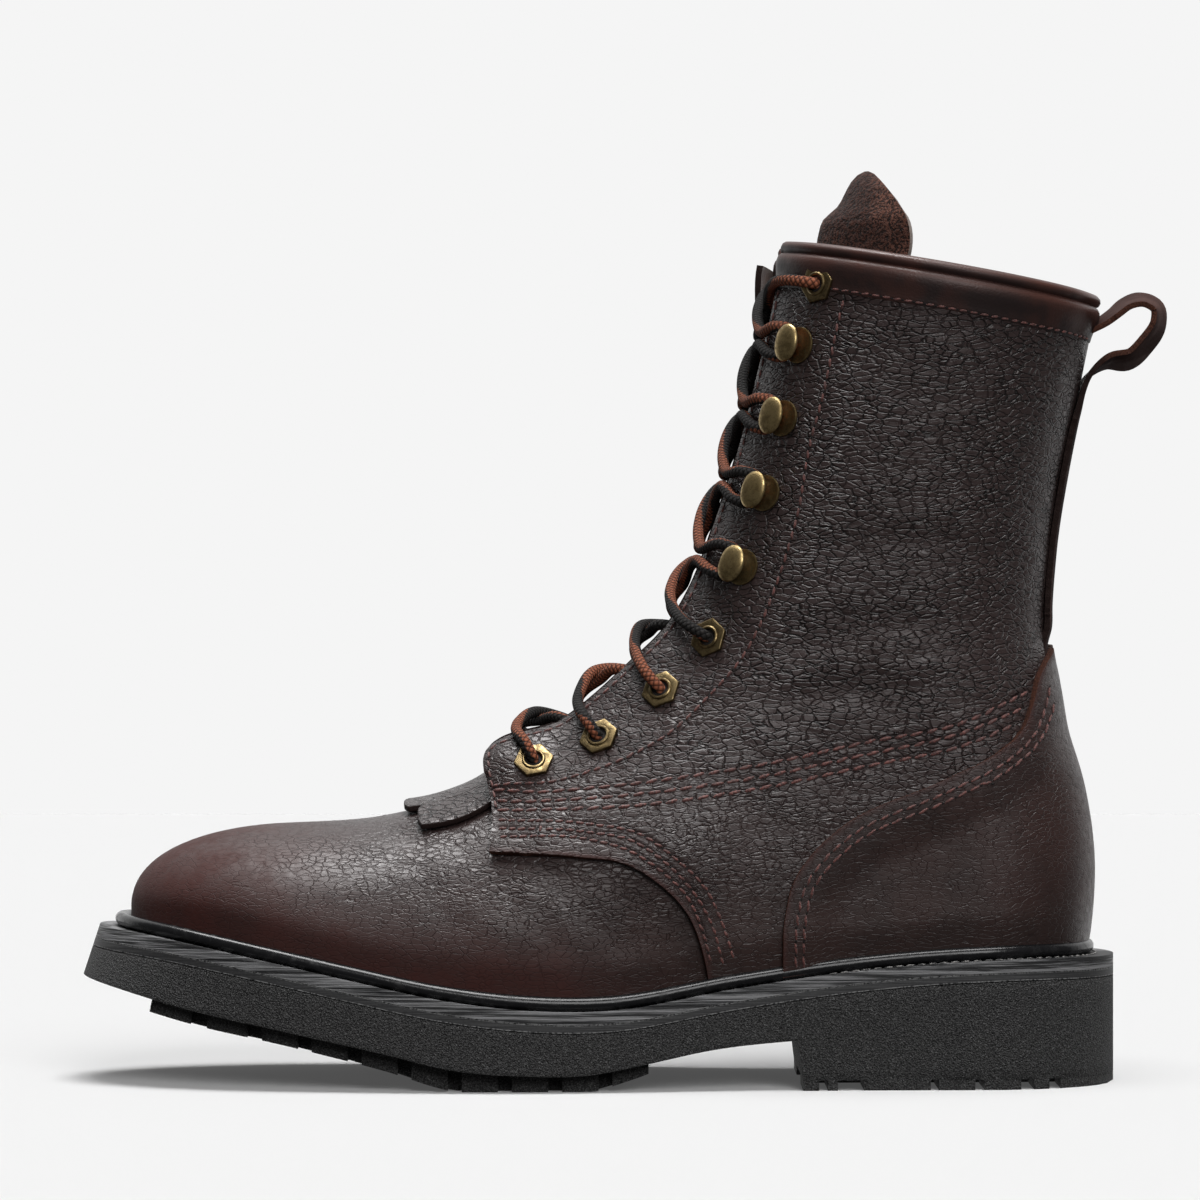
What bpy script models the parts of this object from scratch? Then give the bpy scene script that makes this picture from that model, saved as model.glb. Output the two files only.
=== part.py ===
# Lace-up work boot for the left foot: toe towards -X, outer side towards -Y, sole on z = 0.
# Sizes and tables are in millimetres, and every mesh is written in metres.
import math

import bpy
import numpy as np

MM = 0.001
LATERAL = -1
MEDIAL = 1

# Clearances, wall and sheet thicknesses
GAP = 0.3
WALL = 2.2
OVERLAY_GAP = 0.6
OVERLAY_FOOT = 3.9
QUARTER_FACE = 2.4
COUNTER_FACE = 2.8
TONGUE = 2.2
KILTIE_FACE = 2.2

# Last: exponents of its rounding, toe cap length, flare above the welt and the ankle blend
ARCH = 2.1
ROUND = 2.15
TOE_X = -149.2
TOE_LENGTH = 52.0
BULGE = 2.2
BULGE_HEIGHT = 14.0
ANKLE_LOW = 62.0
ANKLE_HIGH = 135.0

# Crest of the last in side view: vamp ridge, instep and shin, with the depth it rounds over
FRONT_ROWS = (
    # x, z, depth
    (-176.0, 77.3, 26.0),
    (-120.0, 77.5, 26.0),
    (-97.0, 77.7, 32.0),
    (-74.0, 79.4, 42.0),
    (-55.0, 84.4, 50.0),
    (-43.5, 89.2, 54.0),
    (-37.0, 93.6, 56.0),
    (-22.0, 104.2, 58.0),
    (-2.0, 121.5, 58.0),
    (11.0, 135.0, 56.0),
    (20.0, 150.5, 53.0),
    (28.6, 172.5, 51.0),
    (35.2, 193.0, 50.0),
    (45.0, 232.5, 48.0),
    (53.0, 275.0, 48.0),
)

# Back of the last in side view, with the depth it rounds over
BACK_ROWS = (
    # x, z, depth
    (136.0, 30.0, 36.0),
    (139.2, 50.0, 36.0),
    (139.9, 66.0, 36.0),
    (137.2, 87.4, 38.0),
    (130.0, 111.7, 42.0),
    (125.6, 132.0, 45.0),
    (126.4, 158.0, 47.0),
    (131.0, 188.0, 48.0),
    (137.0, 216.0, 48.0),
    (147.0, 260.0, 48.0),
)

# Plan of the last at the welt: how far each side lies from the middle plane
FOOT = np.array((
    # x, lateral, medial
    (-150.0, -36.0, 42.0),
    (-95.0, -44.0, 47.0),
    (-60.0, -47.8, 48.9),
    (-30.0, -48.8, 46.5),
    (0.0, -45.5, 39.5),
    (40.0, -39.0, 32.5),
    (75.0, -36.0, 32.5),
    (105.0, -35.0, 33.5),
    (145.0, -34.5, 33.5),
))

# Half width of the shaft by height
SHAFT = np.array((
    # z, half width
    (60.0, 36.5),
    (120.0, 36.5),
    (150.0, 37.5),
    (190.0, 40.0),
    (230.0, 42.5),
    (280.0, 45.0),
))

# Top of the midsole, which carries welt, upper and insole
SEAT = np.array((
    # x, z
    (-172.0, 48.6),
    (-134.0, 44.0),
    (-106.0, 38.5),
    (-80.0, 32.8),
    (-54.0, 27.4),
    (-30.0, 24.5),
    (-7.0, 24.0),
    (34.0, 30.4),
    (60.0, 34.2),
    (90.0, 37.2),
    (114.0, 38.4),
    (152.0, 38.4),
))

# Sole: margins round the welt line, layer thickness and how the toe edge leans forward
SOLE_SIDE = 5.6
SOLE_TOE = 9.4
SOLE_HEEL = 9.0
HEEL_TIP = 139.2
SOLE_TOE_LENGTH = 60.0
SOLE_HEEL_LENGTH = 44.0
MIDSOLE = 6.2
TOE_LEAN = 0.33
LEAN_START = -105.0

# Welt bead round the foot of the upper, and the insole inside it
WELT_SECTION = (
    # out, up
    (0.6, 0.3),
    (3.9, 0.3),
    (4.3, 1.5),
    (3.6, 2.8),
    (2.2, 3.4),
    (0.7, 3.0),
)
INSOLE = 3.0
INSOLE_INSET = 3.2

# Underside of the outsole between its lugs, and the height that the lugs reach down to
BOTTOM = np.array((
    # x, base, tread
    (-170.0, 34.6, 31.5),
    (-147.0, 29.3, 25.6),
    (-123.0, 22.8, 18.4),
    (-97.0, 17.2, 12.6),
    (-71.0, 11.6, 6.2),
    (-49.0, 6.6, 0.0),
    (-30.0, 5.2, 0.0),
    (-9.5, 5.4, 0.0),
    (3.0, 7.6, 3.6),
    (25.7, 12.2, 12.2),
    (60.0, 15.6, 15.6),
))
BREAST_TOP_X = 51.5
BREAST_FOOT_X = 53.0
HEEL_BASE = 3.0

# Forefoot lugs repeat along the sole, and heel bars are what is left between these cuts
LUG_START = -136.6
LUG_PITCH = 14.8
LUG_LENGTH = 10.7
LUG_COUNT = 10
SHANK_STATIONS = (14.0, 27.0, 40.0)
HEEL_CUTS = (
    # start, end
    (57.7, 60.3),
    (63.3, 71.0),
    (90.8, 93.2),
    (104.0, 106.7),
    (117.7, 121.6),
    (126.3, 129.7),
)
SOLE_ENDS = (0.4, 2.6, 6.6, 12.4)
SOLE_CUTS = (-1.0, -0.88, -0.4, -0.32, 0.32, 0.4, 0.88, 1.0)
LUG_CELLS = (1, 3, 5)
HEEL_CELLS = (0, 1, 3, 5, 6)
HEEL_STATION = 81.0

# Upper net: columns to the ridge, the lower throat and the ankle line, and rows below and above it
RIDGE_COLUMNS = 12
THROAT_COLUMNS = 5
ANKLE_COLUMNS = 11
FOOT_ROWS = 8
SHAFT_ROWS = 6
TOE_TURN = 55.0
THROAT_X = -27.0
THROAT_GAP = 11.5
THROAT_RUN = 14.0
FOOT_SPLIT = (-20.0, 28.0)
INSTEP_Z = 131.0
ANKLE_Z = 137.0

# Rim of the upper, which falls from front to back, and the collar on it
RIM_FRONT_X = 48.0
RIM_FRONT_Z = 250.0
RIM_FALL = 0.172
BAND_HEIGHT = 10.0
BAND_CLEAR = 0.5
COLLAR_COLUMNS = 12
COLLAR_SECTION = (
    # out, up
    (0.5, -10.0),
    (1.9, -10.0),
    (2.0, -0.5),
    (3.0, 0.8),
    (2.2, 2.4),
    (-1.6, 2.4),
    (-2.5, 0.4),
    (0.5, 0.4),
)

# Quarter: front end of the facing, and how far it stands off the last along its edge
FACING_X = -40.5
FACING_GAP = 13.0
FACING_ROUND = 7.0
FRONT_LIFT = 6.2
FRONT_LIFT_RANGE = (-33.0, -14.0)
FRONT_LIFT_LOW = (80.0, 92.0)
EDGE_LIFT = 2.0
EDGE_LIFT_RANGE = (4.0, 24.0)
LIFT_DEPTH = (3.0, 15.0)

# Quarter: front edge of its band and its curved lower edge
QUARTER_FRONT = ((-39.4, 69.4), (-38.4, 78.0), (-38.0, 84.0))
QUARTER_LOWER = (
    (-39.4, 69.4),
    (-13.0, 68.6),
    (0.0, 67.0),
    (10.0, 61.3),
    (18.0, 53.0),
    (22.8, 41.6),
    (24.4, 34.0),
    (25.0, 28.0),
)
QUARTER_COLUMNS = (8, 3, 12)
QUARTER_ANKLE = 16
QUARTER_ROWS = (7, 6)
SEAM_HALF = 0.5

# Counter edge from the welt up to the back seam
COUNTER_EDGE = (
    (46.6, 32.0),
    (47.4, 51.2),
    (50.0, 61.6),
    (55.7, 69.9),
    (63.9, 77.3),
    (95.6, 91.9),
    (109.8, 99.2),
    (115.7, 104.5),
    (119.3, 113.0),
    (121.5, 122.0),
    (126.2, 129.8),
)
COUNTER_SPLIT = 3
COUNTER_CLEAR = 0.7
COUNTER_WAY = (0.75, -0.66)
COUNTER_ROWS = 7

# Backstay strip: glued run up the back seam, then the loop, as points on its middle
STRIP_WIDTH = 21.0
STRIP = 1.7
STRIP_SAG = 1.5
STRIP_START_Z = 132.5
STRIP_LEAVE_Z = 202.0
STRIP_FLATTENS = (60.0, 85.0)
STRIP_STATIONS = 30
GLUED_STEP = 10
LOOP = (
    (141.6, 213.6),
    (147.0, 217.4),
    (153.4, 218.0),
    (158.4, 222.6),
    (162.1, 228.6),
    (161.9, 233.6),
    (157.0, 236.0),
    (152.2, 234.6),
    (149.6, 231.4),
)

# Tongue stations along the crest, with its half width and depth under the wall's outer face
TONGUE_ROWS = np.array((
    # run from the throat, half width, depth, bow of the edges towards the back
    (-12.0, 16.0, 4.8, 0.0),
    (20.0, 26.0, 4.9, 0.0),
    (70.0, 28.0, 5.2, 2.0),
    (130.0, 29.0, 6.6, 6.0),
    (170.0, 28.0, 10.0, 10.5),
))
TONGUE_STATIONS = 9
TONGUE_CUTS = 6
TIP_ROWS = (
    # z, x of its middle, half width, bow of the edges towards the back
    (255.0, 59.6, 26.0, 24.0),
    (260.0, 61.0, 24.5, 20.5),
    (263.5, 64.6, 22.0, 17.0),
    (267.5, 66.8, 17.5, 12.6),
    (271.0, 68.6, 12.0, 8.6),
    (273.8, 71.4, 5.0, 4.0),
)
TIP_SLOPE = 0.5

# Kiltie: fringed sheet on the vamp with a row of fingers
KILTIE_BACK = -30.0
KILTIE_HALF = 28.0
KILTIE_FINGERS = 4
KILTIE_SLIT = 0.9
KILTIE_TAPER = 0.12
KILTIE_ROOT = -50.0
KILTIE_STATIONS = (-43.0, -36.0)
KILTIE_TIP = -66.0
KILTIE_SIDE_TIP = -57.0

# Lace hardware on each facing, as places on the last in side view
EYELETS = (
    # number, x, z
    (1, -24.3, 92.8),
    (2, -6.2, 102.4),
    (3, 12.2, 116.9),
    (4, 26.7, 133.0),
    (9, 59.4, 238.7),
)
HOOKS = (
    # number, x, z
    (5, 36.9, 154.3),
    (6, 43.7, 176.4),
    (7, 49.3, 198.7),
    (8, 54.1, 220.5),
)
EYELET_RADIUS = 6.1
EYELET_HOLE = 2.7
EYELET_HEIGHT = 1.0
FOOTPRINT = 3.9
BRASS_GAP = 0.5
HOOK_PROFILE = (
    # radius, height, stretch along the facing, shift to the front
    (5.4, 0.0, 1.0, 0.0),
    (5.4, 0.9, 1.0, 0.0),
    (2.2, 1.4, 1.0, 1.2),
    (2.2, 4.0, 1.0, 1.6),
    (4.3, 4.6, 1.32, 1.0),
    (3.0, 6.2, 1.32, 1.0),
)
HOOK_SIDES = 7

# Lace over the throat
LACE_RADIUS = 1.7
LACE_REACH = 15.5
LACE_CLEAR = 0.8
BAR_CLEAR = 0.2
LACE_POINTS = 5
LACE_SIDES = 5

# Sampling of the lines and nets
FINE = 81
PROBE = 0.02
SEARCH_DEPTH = 40.0
HALVINGS = 30
BACK_TOP = (200.0, 258.0)
BACK_FOOT = (30.0, 60.0)

# Colour, roughness and metallic value of each finish
FINISHES = {
    "pebbled_leather": ((0.045, 0.027, 0.024), 0.5, 0.0),
    "smooth_leather": ((0.060, 0.030, 0.026), 0.4, 0.0),
    "suede": ((0.085, 0.035, 0.022), 0.95, 0.0),
    "rubber": ((0.016, 0.016, 0.017), 0.8, 0.0),
    "glossy_welt": ((0.010, 0.010, 0.011), 0.3, 0.0),
    "insole_board": ((0.20, 0.12, 0.07), 0.8, 0.0),
    "antique_brass": ((0.30, 0.21, 0.09), 0.35, 1.0),
    "lace": ((0.12, 0.045, 0.025), 0.85, 0.0),
}


def smooth(at, table, column):
    """Cubic curve through one column of a table whose first column is the station."""
    stations = table[:, 0]
    values = table[:, column]
    slopes = np.gradient(values, stations)
    i = np.clip(np.searchsorted(stations, at) - 1, 0, len(stations) - 2)
    step = stations[i + 1] - stations[i]
    t = np.clip((at - stations[i]) / step, 0.0, 1.0)
    rise = t * t * (3 - 2 * t)
    bend = slopes[i] * t * (1 - t) ** 2 - slopes[i + 1] * t * t * (1 - t)
    return values[i] * (1 - rise) + values[i + 1] * rise + step * bend


def ramp(value, low, high):
    """Smooth step from 0 at low to 1 at high."""
    t = np.clip((value - low) / (high - low), 0.0, 1.0)
    return t * t * (3 - 2 * t)


def run_length(points):
    """Length along a row of points, from its start to each point."""
    steps = np.linalg.norm(np.diff(points, axis=0), axis=1)
    return np.concatenate([[0.0], np.cumsum(steps)])


def drawn(rows, count=FINE):
    """Even points on a smooth curve through rows whose first two columns are the place."""
    rows = np.array(rows, float)
    table = np.column_stack([run_length(rows[:, :2]), rows])
    at = np.linspace(0.0, table[-1, 0], count)
    return np.column_stack([smooth(at, table, k) for k in range(1, table.shape[1])])


FRONT = drawn(FRONT_ROWS, 2 * FINE)
BACK = drawn(BACK_ROWS, FINE)


def nearest(x, z, line, inner_hand):
    """Depth of side-view points inside a profile line, and the rounding depth at that place."""
    point = np.stack([x, z], -1)[..., None, :]
    start = line[:-1, :2]
    run = line[1:, :2] - start
    t = np.clip(((point - start) * run).sum(-1) / (run ** 2).sum(-1), 0.0, 1.0)
    gap = np.linalg.norm(point - start - t[..., None] * run, axis=-1)
    turn = run[:, 0] * (point - start)[..., 1] - run[:, 1] * (point - start)[..., 0]
    i = gap.argmin(-1)[..., None]
    inside = np.sign(np.take_along_axis(turn, i, -1)[..., 0]) * inner_hand
    depth_in = np.take_along_axis(gap, i, -1)[..., 0] * inside
    t = np.take_along_axis(t, i, -1)[..., 0]
    i = i[..., 0]
    return depth_in, line[i, 2] * (1 - t) + line[i + 1, 2] * t


def seat(x):
    """Height of the midsole's top."""
    return smooth(x, SEAT, 1)


def feather(x):
    """Height of the upper's lower edge, just above the midsole."""
    return seat(x) + GAP


def rim(x):
    """Height of the upper's top edge."""
    return RIM_FRONT_Z - RIM_FALL * (x - RIM_FRONT_X)


def last(x, z):
    """Middle, half width and closing term of the last at side-view points."""
    front, front_depth = nearest(x, z, FRONT, -1)
    back, back_depth = nearest(x, z, BACK, 1)
    closing = np.clip(1 - front / front_depth, 0, None) ** ROUND
    closing = closing + np.clip(1 - back / back_depth, 0, None) ** ROUND
    closing = closing + np.clip(1 - (x - TOE_X) / TOE_LENGTH, 0, None) ** ROUND
    lateral = smooth(x, FOOT, 1)
    medial = smooth(x, FOOT, 2)
    ankle = ramp(z, ANKLE_LOW, ANKLE_HIGH)
    bulge = BULGE * ramp(z - feather(x), 0, BULGE_HEIGHT)
    middle = (1 - ankle) * (lateral + medial) / 2
    half = (1 - ankle) * ((medial - lateral) / 2 + bulge) + ankle * smooth(z, SHAFT, 1)
    return middle, half, closing


def width(x, z):
    """Half width of the last's skin at side-view points, and its middle."""
    middle, half, closing = last(x, z)
    return half * np.clip(1 - closing, 0, None) ** (1 / ARCH), middle


def skin(net, side, closed=None, least=0.0):
    """Points of the last's skin on one side, from side-view points; closed ones lie in the middle."""
    x, z = net[..., 0], net[..., 1]
    half, middle = width(x, z)
    half = np.maximum(half, least)
    if closed is not None:
        half = np.where(closed, 0.0, half)
    return np.stack([x, middle + side * half, z], -1)


def level(points):
    """Value that is 1 on the last's skin and larger outside."""
    middle, half, closing = last(points[..., 0], points[..., 2])
    return (np.abs(points[..., 1] - middle) / half) ** ARCH + closing


def outward(points):
    """Unit direction that leaves the last's skin."""
    slope = [level(points + PROBE * axis) - level(points - PROBE * axis) for axis in np.eye(3)]
    slope = np.stack(slope, -1)
    return slope / np.linalg.norm(slope, axis=-1, keepdims=True)


def raised(points, height):
    """Points moved off the last's skin by a height, which may differ from point to point."""
    height = np.broadcast_to(height, points.shape[:-1])
    return points + outward(points) * height[..., None]


def cut_depth(points):
    """How far the flat cells of a grid cut below the skin, as the most next to each of its points."""
    depth = np.zeros(points.shape[:2])
    corners = (points[:-1, :-1], points[1:, 1:], points[1:, :-1], points[:-1, 1:])
    for a, b in (corners[:2], corners[2:]):
        middle = (a + b) / 2
        slope = [level(middle + PROBE * axis) - level(middle - PROBE * axis) for axis in np.eye(3)]
        steep = np.linalg.norm(np.stack(slope, -1), axis=-1) / (2 * PROBE)
        cut = np.maximum((1 - level(middle)) / steep, 0)
        for rows in (slice(None, -1), slice(1, None)):
            for columns in (slice(None, -1), slice(1, None)):
                depth[rows, columns] = np.maximum(depth[rows, columns], cut)
    return depth


def spread(path, count):
    """Side-view points of a path, evenly spaced as measured on the skin."""
    run = run_length(skin(path, MEDIAL))
    at = np.linspace(0.0, run[-1], count + 1)
    return np.column_stack([np.interp(at, run, path[:, k]) for k in (0, 1)])


def straight(start, end, count=FINE):
    """Side-view points on a straight line."""
    return np.linspace(np.array(start, float), np.array(end, float), count)


def joined(*paths):
    """Paths end to end, with the shared points kept once."""
    return np.concatenate([paths[0]] + [path[1:] for path in paths[1:]])


def patch(bottom, top, left, right, rows):
    """Side-view net between four edges, its columns evenly spaced as measured on the skin."""
    u = np.linspace(0, 1, len(bottom))[:, None, None]
    v = np.linspace(0, 1, FINE)[None, :, None]

    def fine(edge):
        place = np.linspace(0, 1, len(edge))
        return np.column_stack([np.interp(v.ravel(), place, edge[:, k]) for k in (0, 1)])

    net = (1 - v) * bottom[:, None] + v * top[:, None]
    net = net + (1 - u) * fine(left)[None] + u * fine(right)[None]
    net = net - (1 - u) * ((1 - v) * bottom[0] + v * top[0])
    net = net - u * ((1 - v) * bottom[-1] + v * top[-1])
    return np.stack([spread(column, rows) for column in net])


def cut_where(path, value):
    """Part of a path before a value that rises along it passes zero, ended there."""
    k = int(np.argmax(value > 0))
    t = value[k - 1] / (value[k - 1] - value[k])
    return np.concatenate([path[:k], [path[k - 1] * (1 - t) + path[k] * t]])


def throat_path(start_x, gap_of_run):
    """Edge of the throat from start_x to above the rim, at a given half gap along the crest."""
    crest = FRONT[FRONT[:, 0] > start_x][:, :2]
    crest = drawn(crest, 2 * FINE)
    gap = gap_of_run(run_length(crest))
    along = np.gradient(crest, axis=0)
    along = along / np.linalg.norm(along, axis=1, keepdims=True)
    inwards = np.column_stack([along[:, 1], -along[:, 0]])
    low = np.zeros(len(crest))
    high = np.full(len(crest), SEARCH_DEPTH)
    for _ in range(HALVINGS):
        middle = (low + high) / 2
        place = crest + inwards * middle[:, None]
        wide = width(place[:, 0], place[:, 1])[0] > gap
        high = np.where(wide, middle, high)
        low = np.where(wide, low, middle)
    return crest + inwards * high[:, None]


def back_path(low, high):
    """Back line of the last between two heights."""
    line = drawn(BACK_ROWS, 4 * FINE)[:, :2]
    heights = np.linspace(low, high, FINE)
    return np.column_stack([np.interp(heights, line[:, 1], line[:, 0]), heights])


def rim_end(drop):
    """Point where the back line meets the rim, or a line a little below it."""
    line = back_path(*BACK_TOP)
    return cut_where(line, line[:, 1] - rim(line[:, 0]) + drop)[-1]


def below_rim(path, drop):
    """Part of a path below the rim, or below a line under it."""
    return cut_where(path, path[:, 1] - rim(path[:, 0]) + drop)


def toe_path():
    """Front of the toe from the welt up to where the ridge starts."""
    angle = np.radians(np.linspace(0, TOE_TURN, FINE))
    x = TOE_X + TOE_LENGTH * (1 - np.cos(angle) ** (2 / ROUND))
    crest = np.interp(x, FRONT[:, 0], FRONT[:, 1])
    depth = np.interp(x, FRONT[:, 0], FRONT[:, 2])
    z = crest - depth * (1 - np.sin(angle) ** (2 / ROUND))
    foot = (TOE_X, float(feather(np.array(TOE_X))))
    return joined(straight(foot, (x[0], z[0]), 9), np.column_stack([x, z]))


def ridge_path():
    """Ridge of the vamp from the toe to the start of the throat."""
    angle = np.radians(np.linspace(TOE_TURN, 90, FINE))
    x = TOE_X + TOE_LENGTH * (1 - np.maximum(np.cos(angle), 0) ** (2 / ROUND))
    x = np.concatenate([x, np.linspace(x[-1], THROAT_X, FINE)[1:]])
    toe = np.clip(1 - (x - TOE_X) / TOE_LENGTH, 0, None) ** ROUND
    crest = np.interp(x, FRONT[:, 0], FRONT[:, 1])
    depth = np.interp(x, FRONT[:, 0], FRONT[:, 2])
    return np.column_stack([x, crest - depth * (1 - (1 - toe) ** (1 / ROUND))])


def feather_path(start, end):
    """Lower edge of the upper between two stations, closely spaced where the plan turns."""
    middle = (start + end) / 2
    x = middle - (end - start) / 2 * np.cos(np.linspace(0, math.pi, 2 * FINE))
    return np.column_stack([x, feather(x)])


def heel_point():
    """Foot of the back line."""
    line = back_path(*BACK_FOOT)
    return cut_where(line, line[:, 1] - feather(line[:, 0]))[-1]


def sewn(grids):
    """Points and faces of grids of points, where edges that share points are sewn together."""
    points = []
    faces = []
    for grid, flip in grids:
        n, m = grid.shape[:2]
        number = np.arange(n * m).reshape(n, m) + sum(len(p) for p in points)
        quads = np.stack([number[:-1, :-1], number[1:, :-1], number[1:, 1:], number[:-1, 1:]], -1)
        quads = quads.reshape(-1, 4)
        faces.append(quads[:, ::-1] if flip else quads)
        points.append(grid.reshape(-1, 3))
    points = np.concatenate(points)
    keys = np.round(points, 4) + 0.0
    _, first, name = np.unique(keys, axis=0, return_index=True, return_inverse=True)
    name = name.reshape(-1)
    return first, [tuple(dict.fromkeys(name[list(face)])) for face in np.concatenate(faces)]


def thick(outer_grids, inner_grids):
    """Closed wall between two sets of grids of the same layout."""
    first, faces = sewn(outer_grids)
    outer = np.concatenate([grid.reshape(-1, 3) for grid, _ in outer_grids])[first]
    inner = np.concatenate([grid.reshape(-1, 3) for grid, _ in inner_grids])[first]
    count = len(outer)
    directed = {(a, b) for face in faces for a, b in zip(face, face[1:] + face[:1])}
    walls = [(b, a, a + count, b + count) for a, b in directed if (b, a) not in directed]
    backs = [tuple(k + count for k in reversed(face)) for face in faces]
    return np.concatenate([outer, inner]), faces + backs + sorted(walls)


def volume(points, faces):
    """Signed volume, which tells whether the faces point outwards."""
    total = 0.0
    for face in faces:
        for b, c in zip(face[1:], face[2:]):
            total += np.dot(points[face[0]], np.cross(points[b], points[c]))
    return total


def finish(name):
    """Material with a plain colour, roughness and metallic value."""
    material = bpy.data.materials.get(name)
    if material:
        return material
    colour, roughness, metallic = FINISHES[name]
    material = bpy.data.materials.new(name)
    material.use_nodes = True
    shader = material.node_tree.nodes["Principled BSDF"]
    shader.inputs["Base Color"].default_value = (*colour, 1.0)
    shader.inputs["Roughness"].default_value = roughness
    shader.inputs["Metallic"].default_value = metallic
    return material


def make(name, points, faces, material):
    """One named object from points in millimetres."""
    if volume(points, faces) < 0:
        faces = [tuple(reversed(face)) for face in faces]
    mesh = bpy.data.meshes.new(name)
    mesh.from_pydata((points * MM).tolist(), [], [[int(k) for k in face] for face in faces])
    mesh.materials.append(finish(material))
    mesh.shade_smooth()
    mesh.set_sharp_from_angle(angle=math.radians(40))
    piece = bpy.data.objects.new(name, mesh)
    bpy.context.collection.objects.link(piece)
    return piece


def swept(sections, loop):
    """Closed tube through sections of points; a loop joins its last section to its first."""
    n, m = sections.shape[:2]
    number = np.arange(n * m).reshape(n, m)
    faces = []
    for i in range(n if loop else n - 1):
        here, there = number[i], number[(i + 1) % n]
        faces += [(here[k], there[k], there[(k + 1) % m], here[(k + 1) % m]) for k in range(m)]
    if not loop:
        faces += [tuple(number[0]), tuple(reversed(number[-1]))]
    return sections.reshape(-1, 3), faces


def throat_gap(run):
    """Half gap of the upper's throat, which opens from a point."""
    return THROAT_GAP * np.sqrt(np.clip(run / THROAT_RUN, 0, 1))


def upper_nets():
    """Side-view nets of the upper: foot below the ankle line, shaft above it."""
    ridge = ridge_path()
    throat = joined(ridge[-1:], below_rim(throat_path(THROAT_X, throat_gap), 0))
    split = int(np.argmax(throat[:, 1] > INSTEP_Z))
    heel = heel_point()
    ankle = back_path(ANKLE_Z, ANKLE_Z + 1)[0]
    ankle_line = spread(straight(throat[split], ankle), ANKLE_COLUMNS)
    bottom = joined(
        spread(feather_path(TOE_X, FOOT_SPLIT[0]), RIDGE_COLUMNS),
        spread(feather_path(*FOOT_SPLIT), THROAT_COLUMNS),
        spread(feather_path(FOOT_SPLIT[1], heel[0]), ANKLE_COLUMNS),
    )
    top = joined(spread(ridge, RIDGE_COLUMNS), spread(throat[:split + 1], THROAT_COLUMNS), ankle_line)
    foot = patch(bottom, top, toe_path(), back_path(heel[1], ANKLE_Z), FOOT_ROWS)
    rim_line = spread(straight(throat[-1], rim_end(0)), ANKLE_COLUMNS)
    shaft = patch(ankle_line, rim_line, throat[split:], back_path(ANKLE_Z, rim_end(0)[1]), SHAFT_ROWS)
    return foot, shaft


def make_upper():
    """Hollow wall of vamp and shaft, open at collar, throat and underneath."""
    foot, shaft = upper_nets()
    closed_foot = np.zeros(foot.shape[:2], bool)
    closed_foot[0] = True
    closed_foot[-1] = True
    closed_foot[:RIDGE_COLUMNS + 1, -1] = True
    closed_shaft = np.zeros(shaft.shape[:2], bool)
    closed_shaft[-1] = True
    outer = []
    inner = []
    for side in (LATERAL, MEDIAL):
        for net, closed in ((foot, closed_foot), (shaft, closed_shaft)):
            face = skin(net, side, closed)
            back = raised(face, -WALL)
            if net is foot:
                back[:, 0, 2] = feather(back[:, 0, 0])
            outer.append((face, side == MEDIAL))
            inner.append((back, side == MEDIAL))
    make("upper", *thick(outer, inner), "pebbled_leather")


def facing_lift(x, z):
    """How far the facing stands off the last along its edge, most at its front end over the kiltie."""
    depth = nearest(x, z, FRONT, -1)[0]
    front = FRONT_LIFT * (1 - ramp(x, *FRONT_LIFT_RANGE)) * ramp(z, *FRONT_LIFT_LOW)
    along = EDGE_LIFT * (1 - ramp(x, *EDGE_LIFT_RANGE))
    return (front + along) * (1 - ramp(depth, *LIFT_DEPTH))


def facing_gap(run):
    """Half gap of the facings, wider where their front ends are rounded."""
    return FACING_GAP + FACING_ROUND * (1 - np.clip(run / FACING_ROUND, 0, 1)) ** 2


def counter_points():
    """Edge that counter and quarter share, from the welt to the back seam."""
    edge = drawn(COUNTER_EDGE)[::-1]
    edge = cut_where(edge, seat(edge[:, 0]) + OVERLAY_FOOT - edge[:, 1])
    return spread(edge[::-1], QUARTER_COLUMNS[2])


def quarter_nets():
    """Side-view nets of a quarter, below and above the ankle line."""
    throat = below_rim(throat_path(FACING_X, facing_gap), BAND_HEIGHT + BAND_CLEAR)
    split = int(np.argmax(throat[:, 1] > INSTEP_Z))
    ankle = back_path(ANKLE_Z, ANKLE_Z + 1)[0]
    ankle_line = spread(straight(throat[split], ankle), QUARTER_ANKLE)
    edge = counter_points()
    lower = drawn(QUARTER_LOWER)
    lower = cut_where(lower, seat(lower[:, 0]) + OVERLAY_FOOT - lower[:, 1])
    foot_edge = feather_path(lower[-1, 0], edge[0, 0])
    foot_edge[:, 1] = seat(foot_edge[:, 0]) + OVERLAY_FOOT
    bottom = joined(spread(lower, QUARTER_COLUMNS[0]), spread(foot_edge, QUARTER_COLUMNS[1]), edge)
    top = joined(spread(throat[:split + 1], len(bottom) - len(ankle_line)), ankle_line)
    front = drawn(QUARTER_FRONT + (tuple(throat[0]),))
    back = straight(edge[-1], ankle, 9)
    low = patch(bottom, top, front, back, QUARTER_ROWS[0])
    end = rim_end(BAND_HEIGHT + BAND_CLEAR)
    band_line = spread(straight(throat[-1], end), QUARTER_ANKLE)
    high = patch(ankle_line, band_line, throat[split:], back_path(ANKLE_Z, end[1]), QUARTER_ROWS[1])
    return low, high


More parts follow.
